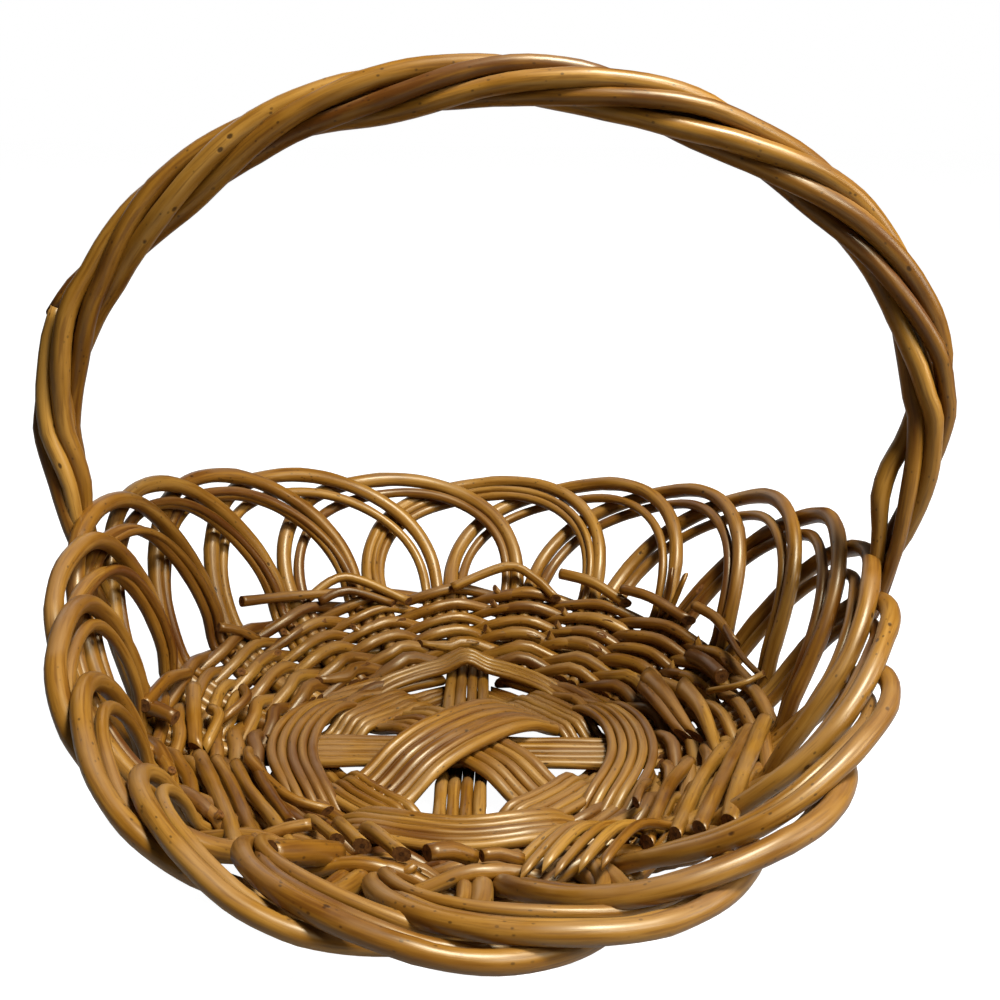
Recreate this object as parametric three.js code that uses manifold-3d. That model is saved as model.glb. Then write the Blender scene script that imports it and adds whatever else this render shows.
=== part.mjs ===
// Gathering basket of golden willow: a woven base of crossing ribbons, a shallow twined wall,
// an open border of overlapping loops and a fixed, twisted bow handle. Millimetres, +Z up,
// the handle spans X and the basket stands on z = 0.
import * as THREE from "three";
import { mergeVertices } from "three/addons/utils/BufferGeometryUtils.js";
import Module from "manifold-3d";

const wasm = await Module();
wasm.setup();

// Fits shared by all pieces
const rod_clearance_mm = 0.3;

// Base ribbons, each of a few rods laid side by side. The shares of rod thickness, length and
// distance are of the base radius, the valley between two rods is a share of half a rod.
const base_radius_mm = 93;
const base_rod_share = 0.0645;
const ribbon_rod_count = 4;
const low_diagonal_rod_count = 5;
const high_diagonal_rod_count = 6;
const base_valley_share = 0.55;
const standing_flat_mm = 0.5;
const base_quarter_deg = 90;
const base_diagonal_deg = 45;
const edge_ribbon_inset_mm = 1;
const edge_ribbon_length_share = 0.41;
const corner_ribbon_distance_share = 0.65;
const corner_ribbon_length_share = 0.473;
const corner_ribbon_bow_share = 0.054;
const base_through_levels = {
  front_back: [0, 0, 1, 1, 1, 1, 1],
  left_right: [1, 1, 1, 1, 1, 1, 1],
  diagonal_low: [2, 2, 2.1, 0, 0, 0, 0],
  diagonal_high: [3, 3, 2.4, 0, 0, 0, 0],
};
const base_edge_levels = [2, 2, 2, 2];
const base_corner_levels = [1, 1, 1, 0, 0, 0];

// Wall, a bowl-shaped surface from the foot by the base to the top row
const wall_foot_gap_mm = 0.8;
const wall_foot_height_mm = 8.6;
const wall_knee_reach_mm = 29;
const wall_knee_height_mm = 14;
const wall_reach_mm = 52;
const wall_top_height_mm = 35;

// Weavers, two to a row, twined round the stakes, with the rows close on each other
const weaver_rows = 6;
const weaver_sides = 5;
const weaver_end_gap_share = 0.25;

// Border loops, each of an outer and an inner rod that run down the wall as stakes
const loop_count = 20;
const loop_span_count = 3;
const loop_first_angle_deg = 132;
const loop_outer_diameter_mm = 7.2;
const loop_inner_diameter_mm = 5.2;
const loop_inner_height_share = 0.84;
const loop_roundness_share = 0.95;
const loop_layer_mm = 4.7;
const loop_arc_steps = 13;
const loop_outer_sides = 5;
const loop_inner_sides = 4;
const loop_foot_overlap_mm = 1;
const leg_up_shares = [0, 0.12, 0.4, 0.7, 1];
const leg_down_shares = [1, 0.75, 0.5];
const border_reach_mm = 47;
const border_rise_mm = 61;
const border_side_reach_drop_mm = 20;
const border_side_rise_mm = 25;
const border_right_reach_mm = 8;
const border_right_rise_drop_mm = 6;
const border_front_reach_mm = 6;
const border_back_rise_mm = 9;

// Handle, a bow rod with strands twisted round it, all thinning towards the feet
const handle_core_diameter_mm = 5;
const handle_strand_diameter_mm = 7.6;
const handle_strand_clearance_mm = 0.8;
const handle_strand_count = 5;
const handle_twist_pitch_mm = 237;
const handle_first_twist_deg = 40;
const handle_height_mm = 313;
const handle_overhang_mm = 14;
const handle_widest_height_mm = 170;
const handle_shift_right_mm = 12.5;
const handle_shift_front_mm = 5;
const handle_turn_deg = -3;
const handle_arch_steps = 22;
const handle_core_steps = 56;
const handle_core_sides = 8;
const handle_strand_sides = 5;
const handle_strand_steps = 30;
const handle_search_steps = 12;
const handle_foot_on_wall_share = 0.6;
const handle_left_angle_deg = 180;
const handle_right_angle_deg = -5;
const handle_leave_border_share = 0.85;
const handle_foot_girth_share = 0.6;
const handle_thinning_length_mm = 100;

const willow_colours = { base: 0xb07a32, weaver: 0xa86f2a, loop: 0xb98339, handle: 0xa9752f };
const group_step = (2 * Math.PI) / loop_count;
const part = new THREE.Group();
part.name = "gathering_basket";
const pieces = new THREE.Group();
part.add(pieces);

// A path that keeps every station it is given, so bends stay where the stakes are.
class StationPath extends THREE.Curve {
  constructor(stations) {
    super();
    this.stations = stations;
  }

  getPoint(share, target = new THREE.Vector3()) {
    const last = this.stations.length - 1;
    const place = Math.min(Math.max(share, 0), 1) * last;
    const before = Math.min(Math.floor(place), last - 1);
    return target.lerpVectors(this.stations[before], this.stations[before + 1], place - before);
  }

  getPointAt(share, target) {
    return this.getPoint(share, target);
  }

  getTangentAt(share, target = new THREE.Vector3()) {
    const last = this.stations.length - 1;
    const at = Math.round(share * last);
    const before = this.stations[Math.max(at - 1, 0)];
    const after = this.stations[Math.min(at + 1, last)];
    return target.subVectors(after, before).normalize();
  }

  getSpacedPoints() {
    return this.stations;
  }
}

function roundSection(diameter, sides) {
  const corners = [];
  for (let i = 0; i < sides; i += 1) {
    const angle = (i * 2 * Math.PI) / sides;
    corners.push(new THREE.Vector2(Math.cos(angle), Math.sin(angle)).multiplyScalar(diameter / 2));
  }
  return new THREE.Shape(corners);
}

function sweep(section, stations) {
  return new THREE.ExtrudeGeometry(section, {
    extrudePath: new StationPath(stations),
    steps: stations.length - 1,
    bevelEnabled: false,
  });
}

// Thins a swept rod: girth tells, for each station, the share of its full thickness.
function thin(geometry, stations, girth) {
  const corner = new THREE.Vector3();
  const places = geometry.attributes.position;
  for (let i = 0; i < places.count; i += 1) {
    corner.fromBufferAttribute(places, i);
    const distances = stations.map((station) => station.distanceTo(corner));
    const nearest = distances.indexOf(Math.min(...distances));
    corner.lerp(stations[nearest], 1 - girth[nearest]);
    places.setXYZ(i, corner.x, corner.y, corner.z);
  }
  return geometry;
}

function toSolid(geometry) {
  const bare = geometry.clone();
  bare.deleteAttribute("normal");
  bare.deleteAttribute("uv");
  const welded = mergeVertices(bare);
  const mesh = new wasm.Mesh({
    numProp: 3,
    vertProperties: new Float32Array(welded.attributes.position.array),
    triVerts: new Uint32Array(welded.index.array),
  });
  return new wasm.Manifold(mesh);
}

function fromSolid(solid) {
  const mesh = solid.getMesh();
  const geometry = new THREE.BufferGeometry();
  geometry.setAttribute("position", new THREE.BufferAttribute(new Float32Array(mesh.vertProperties), 3));
  geometry.setIndex(new THREE.BufferAttribute(new Uint32Array(mesh.triVerts), 1));
  return geometry;
}

function addPiece(name, geometry, colour) {
  const material = new THREE.MeshStandardMaterial({ color: colour, roughness: 0.45, metalness: 0 });
  material.name = `${name}_willow`;
  const mesh = new THREE.Mesh(geometry, material);
  mesh.name = name;
  pieces.add(mesh);
}

// Wall meridian: x is the radius, y the height
const wall_top_radius_mm = base_radius_mm + wall_reach_mm;
const wall_meridian = new THREE.QuadraticBezierCurve(
  new THREE.Vector2(base_radius_mm + wall_foot_gap_mm, wall_foot_height_mm),
  new THREE.Vector2(base_radius_mm + wall_knee_reach_mm, wall_knee_height_mm),
  new THREE.Vector2(wall_top_radius_mm, wall_top_height_mm),
);

const wall_length_mm = wall_meridian.getLength();
const row_pitch_mm = wall_length_mm / weaver_rows;
const weaver_diameter_mm = row_pitch_mm / 2 - rod_clearance_mm;

// Point on the wall: share runs up from the foot, outward and upward are offsets from the surface.
function wallPoint(share, angle, outward = 0, upward = 0) {
  const place = wall_meridian.getPointAt(share);
  const along = wall_meridian.getTangentAt(share);
  const radius = place.x + along.y * outward + along.x * upward;
  const height = place.y - along.x * outward + along.y * upward;
  return new THREE.Vector3(radius * Math.cos(angle), radius * Math.sin(angle), height);
}

function borderReach(angle) {
  return (
    border_reach_mm -
    border_side_reach_drop_mm * Math.cos(2 * angle) +
    border_right_reach_mm * Math.cos(angle) -
    border_front_reach_mm * Math.sin(angle)
  );
}

function borderRise(angle) {
  return (
    border_rise_mm +
    border_side_rise_mm * Math.cos(2 * angle) -
    border_right_rise_drop_mm * Math.cos(angle) +
    border_back_rise_mm * Math.sin(angle)
  );
}

// Point on the border above the wall: share 0 is the wall top, 1 the crest of the loops.
function borderPoint(share, angle, outward = 0) {
  const reach = borderReach(angle);
  const rise = borderRise(angle);
  const slant = Math.hypot(reach, rise);
  const radius = wall_top_radius_mm + share * reach + (outward * rise) / slant;
  const height = wall_top_height_mm + share * rise - (outward * reach) / slant;
  return new THREE.Vector3(radius * Math.cos(angle), radius * Math.sin(angle), height);
}

// Sideways place of the rods in a stake group: outer rods meet in the middle, inner rods flank them
const outer_leg_offset_mm = (loop_outer_diameter_mm + rod_clearance_mm) / 2;
const pair_distance_mm = (loop_outer_diameter_mm + loop_inner_diameter_mm) / 2;
const inner_leg_offset_mm = outer_leg_offset_mm + pair_distance_mm + rod_clearance_mm;
const group_half_width_mm = inner_leg_offset_mm + loop_inner_diameter_mm / 2;

function groupAngle(group) {
  return THREE.MathUtils.degToRad(loop_first_angle_deg) - group * group_step;
}

// Stations of one rod of a loop: up the wall, over the border and down into a later stake group
function loopStations(group, side_offset, foot_offset, height_share) {
  const stations = [];
  const start = groupAngle(group);
  const finish = groupAngle(group + loop_span_count);
  const wallRadius = (share) => wall_meridian.getPointAt(share).x;
  for (const share of leg_up_shares) {
    const offset = share === 0 ? foot_offset : side_offset;
    stations.push(wallPoint(share, start - offset / wallRadius(share)));
  }
  const from = start - side_offset / wall_top_radius_mm;
  const to = finish + side_offset / wall_top_radius_mm;
  for (let i = 1; i < loop_arc_steps; i += 1) {
    const turn = (Math.PI * i) / loop_arc_steps;
    const angle = (from + to) / 2 + ((from - to) / 2) * Math.cos(turn);
    const height = height_share * Math.sin(turn) ** loop_roundness_share;
    const swing = Math.sin(2 * turn);
    const layer = loop_layer_mm * swing * (2 - Math.abs(swing));
    stations.push(borderPoint(height, angle, layer));
  }
  for (const share of leg_down_shares) {
    stations.push(wallPoint(share, finish + side_offset / wallRadius(share)));
  }
  return stations;
}

function addLoop(group) {
  const outer_section = roundSection(loop_outer_diameter_mm, loop_outer_sides);
  const inner_section = roundSection(loop_inner_diameter_mm, loop_inner_sides);
  const pressed = outer_leg_offset_mm + pair_distance_mm - loop_foot_overlap_mm;
  const outer = loopStations(group, outer_leg_offset_mm, outer_leg_offset_mm, 1);
  const inner = loopStations(group, inner_leg_offset_mm, pressed, loop_inner_height_share);
  const pair = toSolid(sweep(outer_section, outer)).add(toSolid(sweep(inner_section, inner)));
  addPiece(`border_loop_${String(group + 1).padStart(2, "0")}`, fromSolid(pair), willow_colours.loop);
}

// One weaver of a twined row: it passes inside one stake group and outside the next, and swaps
// height with its partner in every gap.
function addWeaver(row, partner) {
  const share = (row + 0.5) / weaver_rows;
  const radius = wall_meridian.getPointAt(share).x;
  const swap = (weaver_diameter_mm + rod_clearance_mm) / 2;
  const outward = (loop_outer_diameter_mm + weaver_diameter_mm) / 2 + rod_clearance_mm;
  const falling_legs_here = share > leg_down_shares.at(-1) - 1 / weaver_rows;
  const left = falling_legs_here ? -group_half_width_mm : rod_clearance_mm / 2;
  const stations = [];
  for (let group = 0; group < loop_count; group += 1) {
    const side = (group + partner) % 2 === 0 ? 1 : -1;
    const middle = groupAngle(group);
    const enter = middle - left / radius;
    const leave = middle - group_half_width_mm / radius;
    stations.push(wallPoint(share, enter, side * outward, side * swap));
    stations.push(wallPoint(share, leave, side * outward, -side * swap));
  }
  const closing = new THREE.Vector3().lerpVectors(stations.at(-1), stations[0], 1 - weaver_end_gap_share);
  stations.push(closing);
  const section = roundSection(weaver_diameter_mm, weaver_sides);
  const name = `weaver_row_${row + 1}_${partner === 0 ? "a" : "b"}`;
  addPiece(name, sweep(section, stations), willow_colours.weaver);
}

const base_rod_diameter_mm = base_radius_mm * base_rod_share;

function ribbonHalfWidth(rods) {
  return (rods * base_rod_diameter_mm) / 2;
}

// Section of a ribbon: a crest for every rod with valleys between, alike above and below
function ribbonSection(rods) {
  const top = [];
  const radius = base_rod_diameter_mm / 2;
  const half_width = ribbonHalfWidth(rods);
  for (let rod = 0; rod < rods; rod += 1) {
    const middle = -half_width + (rod + 0.5) * base_rod_diameter_mm;
    if (rod > 0) {
      top.push(new THREE.Vector2(middle - radius, radius * base_valley_share));
    }
    top.push(new THREE.Vector2(middle, radius));
  }
  const below = top.map((corner) => new THREE.Vector2(corner.x, -corner.y));
  const left = new THREE.Vector2(-half_width, 0);
  const right = new THREE.Vector2(half_width, 0);
  return [left, ...below, right, ...top.reverse()];
}

const layer_step_mm = base_rod_diameter_mm + rod_clearance_mm;
const base_low_mm = base_rod_diameter_mm / 2 - standing_flat_mm;

// A ribbon across the base: levels are layers of rod height, listed from its middle to its end.
function addRibbon(name, rods, turn_deg, distance, half_length, bow, levels) {
  const turn = THREE.MathUtils.degToRad(turn_deg);
  const stations = [];
  const count = levels.length - 1;
  for (let i = -count; i <= count; i += 1) {
    const share = i / count;
    const along = share * half_length;
    const out = distance - bow * share * share;
    const height = base_low_mm + levels[Math.abs(i)] * layer_step_mm;
    const x = Math.cos(turn) * along - Math.sin(turn) * out;
    const y = Math.sin(turn) * along + Math.cos(turn) * out;
    stations.push(new THREE.Vector3(x, y, height));
  }
  const floor = new THREE.BoxGeometry(2 * base_radius_mm, 2 * base_radius_mm, base_rod_diameter_mm);
  floor.translate(0, 0, -base_rod_diameter_mm / 2);
  const standing = toSolid(layRibbon(rods, stations)).subtract(toSolid(floor));
  addPiece(name, fromSolid(standing), willow_colours.base);
}

// Sweeps the ribbon section along its stations with its width kept level.
function layRibbon(rods, stations) {
  const section = ribbonSection(rods);
  const corners = [];
  for (let i = 0; i < stations.length; i += 1) {
    const before = stations[Math.max(i - 1, 0)];
    const after = stations[Math.min(i + 1, stations.length - 1)];
    const along = new THREE.Vector3().subVectors(after, before).normalize();
    const across = new THREE.Vector3(-along.y, along.x, 0).normalize();
    const up = new THREE.Vector3().crossVectors(along, across);
    for (const corner of section) {
      const point = stations[i].clone();
      point.addScaledVector(across, corner.x).addScaledVector(up, corner.y);
      corners.push(point.x, point.y, point.z);
    }
  }
  const size = section.length;
  const triangles = [];
  for (let ring = 0; ring < stations.length - 1; ring += 1) {
    for (let i = 0; i < size; i += 1) {
      const near = ring * size + i;
      const next = ring * size + ((i + 1) % size);
      triangles.push(near, next, near + size, next, next + size, near + size);
    }
  }
  const lids = THREE.ShapeUtils.triangulateShape(section, []);
  const far = (stations.length - 1) * size;
  for (const [a, b, c] of lids) {
    triangles.push(a, c, b, far + a, far + b, far + c);
  }
  const geometry = new THREE.BufferGeometry();
  geometry.setAttribute("position", new THREE.BufferAttribute(new Float32Array(corners), 3));
  geometry.setIndex(triangles);
  return geometry;
}

// Handle bow in its own upright plane: x across the basket, y up
function handlePlanePoint(across, height) {
  const turn = THREE.MathUtils.degToRad(handle_turn_deg);
  const x = Math.cos(turn) * across;
  const y = Math.sin(turn) * across - handle_shift_front_mm;
  return new THREE.Vector3(x, y, height);
}

// Distance from the bow's centreline to the strands' centrelines
const beside_core_mm = (handle_core_diameter_mm + handle_strand_diameter_mm) / 2;
const strand_orbit_mm = beside_core_mm + handle_strand_clearance_mm;

// The bow's foot lies outside the wall and the border, where the strands begin by their own width too
function handleFoot(angle_deg) {
  const angle = THREE.MathUtils.degToRad(angle_deg);
  const core = (handle_core_diameter_mm / 2) * handle_foot_girth_share + rod_clearance_mm;
  const bundle = (strand_orbit_mm + handle_strand_diameter_mm / 2) * handle_foot_girth_share;
  const by_wall = loop_outer_diameter_mm / 2 + weaver_diameter_mm + rod_clearance_mm + core;
  const by_loops = loop_outer_diameter_mm / 2 + loop_layer_mm;
  return [
    wallPoint(handle_foot_on_wall_share, angle, by_wall),
    wallPoint(1, angle, by_wall),
    borderPoint(handle_leave_border_share / 2, angle, by_loops + core),
    borderPoint(handle_leave_border_share, angle, by_loops + rod_clearance_mm + bundle),
  ];
}

const left_foot = handleFoot(handle_left_angle_deg);
const right_foot = handleFoot(handle_right_angle_deg);

function handleLine() {
  const side_reach = border_reach_mm - border_side_reach_drop_mm;
  const half_width = wall_top_radius_mm + side_reach + handle_overhang_mm;
  const arch = [];
  for (let i = 0; i <= handle_arch_steps; i += 1) {
    const turn = Math.PI * (1 - i / handle_arch_steps);
    const across = handle_shift_right_mm + half_width * Math.cos(turn);
    const rise = (handle_height_mm - handle_widest_height_mm) * Math.sin(turn);
    arch.push(handlePlanePoint(across, handle_widest_height_mm + rise));
  }
  return [...left_foot, ...arch, ...right_foot.toReversed()];
}

const handle_path = new THREE.CatmullRomCurve3(handleLine(), false, "centripetal");
const handle_length_mm = handle_path.getLength();

// Share along the bow where it leaves the border, found by halving between its end and its middle
function leavingShare(foot, end) {
  let below = end;
  let above = 0.5;
  for (let i = 0; i < handle_search_steps; i += 1) {
    const middle = (below + above) / 2;
    if (handle_path.getPointAt(middle).z < foot.at(-1).z) {
      below = middle;
    } else {
      above = middle;
    }
  }
  return above;
}

const strands_from_share = leavingShare(left_foot, 0);
const strands_to_share = leavingShare(right_foot, 1);

// Share of the full thickness that the handle's rods have at a place along the bow
function handleGirth(share) {
  const distance = Math.min(share - strands_from_share, strands_to_share - share) * handle_length_mm;
  const grown = THREE.MathUtils.smoothstep(distance, 0, handle_thinning_length_mm);
  return handle_foot_girth_share + (1 - handle_foot_girth_share) * grown;
}

// The bow at the heart of the handle
const core_section = roundSection(handle_core_diameter_mm, handle_core_sides);
const core_stations = handle_path.getSpacedPoints(handle_core_steps);
const core_girth = core_stations.map((station, i) => handleGirth(i / handle_core_steps));
const bow = thin(sweep(core_section, core_stations), core_stations, core_girth);
addPiece("handle_bow", bow, willow_colours.handle);

// One strand twisted round the bow, between the two places where the bow leaves the border
function addStrand(index) {
  const turn = THREE.MathUtils.degToRad(handle_turn_deg);
  const front = new THREE.Vector3(Math.sin(turn), -Math.cos(turn), 0);
  const stations = [];
  const girth = [];
  for (let i = 0; i <= handle_strand_steps; i += 1) {
    const share = THREE.MathUtils.lerp(strands_from_share, strands_to_share, i / handle_strand_steps);
    const along = handle_path.getTangentAt(share);
    const outward = new THREE.Vector3().crossVectors(front, along).normalize();
    const turns = index / handle_strand_count - (share * handle_length_mm) / handle_twist_pitch_mm;
    const phase = THREE.MathUtils.degToRad(handle_first_twist_deg) + turns * 2 * Math.PI;
    const orbit = strand_orbit_mm * handleGirth(share);
    const station = handle_path.getPointAt(share);
    station.addScaledVector(outward, orbit * Math.cos(phase));
    station.addScaledVector(front, orbit * Math.sin(phase));
    stations.push(station);
    girth.push(handleGirth(share));
  }
  const section = roundSection(handle_strand_diameter_mm, handle_strand_sides);
  const strand = thin(sweep(section, stations), stations, girth);
  addPiece(`handle_strand_${index + 1}`, strand, willow_colours.handle);
}

for (let index = 0; index < handle_strand_count; index += 1) {
  addStrand(index);
}
for (let group = 0; group < loop_count; group += 1) {
  addLoop(group);
}
for (let row = 0; row < weaver_rows; row += 1) {
  addWeaver(row, 0);
  addWeaver(row, 1);
}

// Edge ribbons follow the rim of the base, corner ribbons cut across between the through ribbons
const ribbon_half_width_mm = ribbonHalfWidth(ribbon_rod_count);
const edge_distance_mm = base_radius_mm - ribbon_half_width_mm - edge_ribbon_inset_mm;
const edge_half_length_mm = base_radius_mm * edge_ribbon_length_share;
const edge_bow_mm = edge_distance_mm - Math.sqrt(edge_distance_mm ** 2 - edge_half_length_mm ** 2);
const edge_lay = [edge_distance_mm, edge_half_length_mm, edge_bow_mm, base_edge_levels];
const corner_shares = [
  corner_ribbon_distance_share,
  corner_ribbon_length_share,
  corner_ribbon_bow_share,
];
const corner_lay = [...corner_shares.map((share) => base_radius_mm * share), base_corner_levels];
for (let quarter = 0; quarter < 4; quarter += 1) {
  const edge_deg = quarter * base_quarter_deg;
  const corner_deg = edge_deg + base_diagonal_deg;
  addRibbon(`base_edge_ribbon_${quarter + 1}`, ribbon_rod_count, edge_deg, ...edge_lay);
  addRibbon(`base_corner_ribbon_${quarter + 1}`, ribbon_rod_count, corner_deg, ...corner_lay);
}

// Through ribbons run right across the base, one way each
function addThroughRibbon(way, turn_deg, rods) {
  const half_length = Math.sqrt(base_radius_mm ** 2 - ribbonHalfWidth(rods) ** 2);
  addRibbon(`base_ribbon_${way}`, rods, turn_deg, 0, half_length, 0, base_through_levels[way]);
}

addThroughRibbon("front_back", base_quarter_deg, ribbon_rod_count);
addThroughRibbon("left_right", 0, ribbon_rod_count);
addThroughRibbon("diagonal_low", -base_diagonal_deg, low_diagonal_rod_count);
addThroughRibbon("diagonal_high", base_diagonal_deg, high_diagonal_rod_count);

// The origin lies under the middle of the whole basket, which the wide front loops pull off the base
const middle = new THREE.Box3().setFromObject(pieces).getCenter(new THREE.Vector3());
pieces.position.set(-middle.x, -middle.y, 0);

export default part;
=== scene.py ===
"""Gathering basket of varnished willow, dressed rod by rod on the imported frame.

The basket stands on a woven base of crossing ribbons. Twined rows hold the stakes of a low wall,
the stakes arch over each other as an open border of loops, and a bundle of twisted rods makes the
bow handle. Lengths are in metres and angles in radians, with +Z up and the camera looking along +Y.
"""

import logging
import math
import random
from dataclasses import dataclass, field, replace
from enum import Enum

import bmesh
import bpy
from mathutils import Matrix, Vector


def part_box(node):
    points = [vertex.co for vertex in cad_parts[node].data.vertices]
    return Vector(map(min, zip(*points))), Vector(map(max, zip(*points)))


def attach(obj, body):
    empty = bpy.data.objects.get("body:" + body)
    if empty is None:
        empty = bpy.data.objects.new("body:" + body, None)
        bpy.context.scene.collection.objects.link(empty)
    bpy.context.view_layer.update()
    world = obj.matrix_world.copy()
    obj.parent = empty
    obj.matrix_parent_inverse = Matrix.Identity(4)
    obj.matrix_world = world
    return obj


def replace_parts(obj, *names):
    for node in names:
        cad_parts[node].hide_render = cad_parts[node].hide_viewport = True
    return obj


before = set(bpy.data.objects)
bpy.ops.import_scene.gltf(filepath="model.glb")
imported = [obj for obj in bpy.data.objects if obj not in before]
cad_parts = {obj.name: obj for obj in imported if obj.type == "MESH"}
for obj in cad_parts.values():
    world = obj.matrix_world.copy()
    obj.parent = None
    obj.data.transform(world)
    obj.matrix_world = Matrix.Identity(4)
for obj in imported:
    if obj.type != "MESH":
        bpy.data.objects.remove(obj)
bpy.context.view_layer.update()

LOG = logging.getLogger("gathering_basket")
BODY = "root"
ROD_MAP = "rod"
TONE = "tone"
TURN = 2 * math.pi


# Rods


class Cut(Enum):
    """How a rod ends: how far the cut runs along it, as a share of its radius."""

    SQUARE = 0.0
    SLANTED = 0.9
    LONG_SLANT = 2.2


class Skin(Enum):
    """What a face of a rod shows, by its place among the piece's materials."""

    BARK = 0
    CUT = 1
    PITH = 2


@dataclass
class Rod:
    """One willow rod: the places it passes through and its thickness from butt to tip."""

    path: list[Vector]
    butt: float
    tip: float
    tone: float = 0.0
    start: Cut = Cut.SQUARE
    end: Cut = Cut.SQUARE
    step: float = 0.005
    sides: int = 12
    nodes: float = 0.05
    tension: float = 0.5
    thin_share: float = 1.0
    thin_length: float = 0.1
    thin_start: bool = True
    thin_end: bool = True


@dataclass(frozen=True)
class RodSpread:
    """How far rods of one kind differ: in thickness at both ends, as shares, and in tone."""

    butt: tuple[float, float]
    tip: tuple[float, float]
    tone: tuple[float, float]

    def rod(self, path: list[Vector], butt: float, tip: float, rng: random.Random) -> Rod:
        """Makes one rod of the kind.

        Args:
            path: Places along the rod.
            butt: Usual thickness of its thick end.
            tip: Usual thickness of its thin end.
            rng: Source of small irregularities.

        Returns:
            The rod, with square ends.
        """
        butt *= rng.uniform(*self.butt)
        tip *= rng.uniform(*self.tip)
        return Rod(path, butt, tip, rng.uniform(*self.tone))


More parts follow.
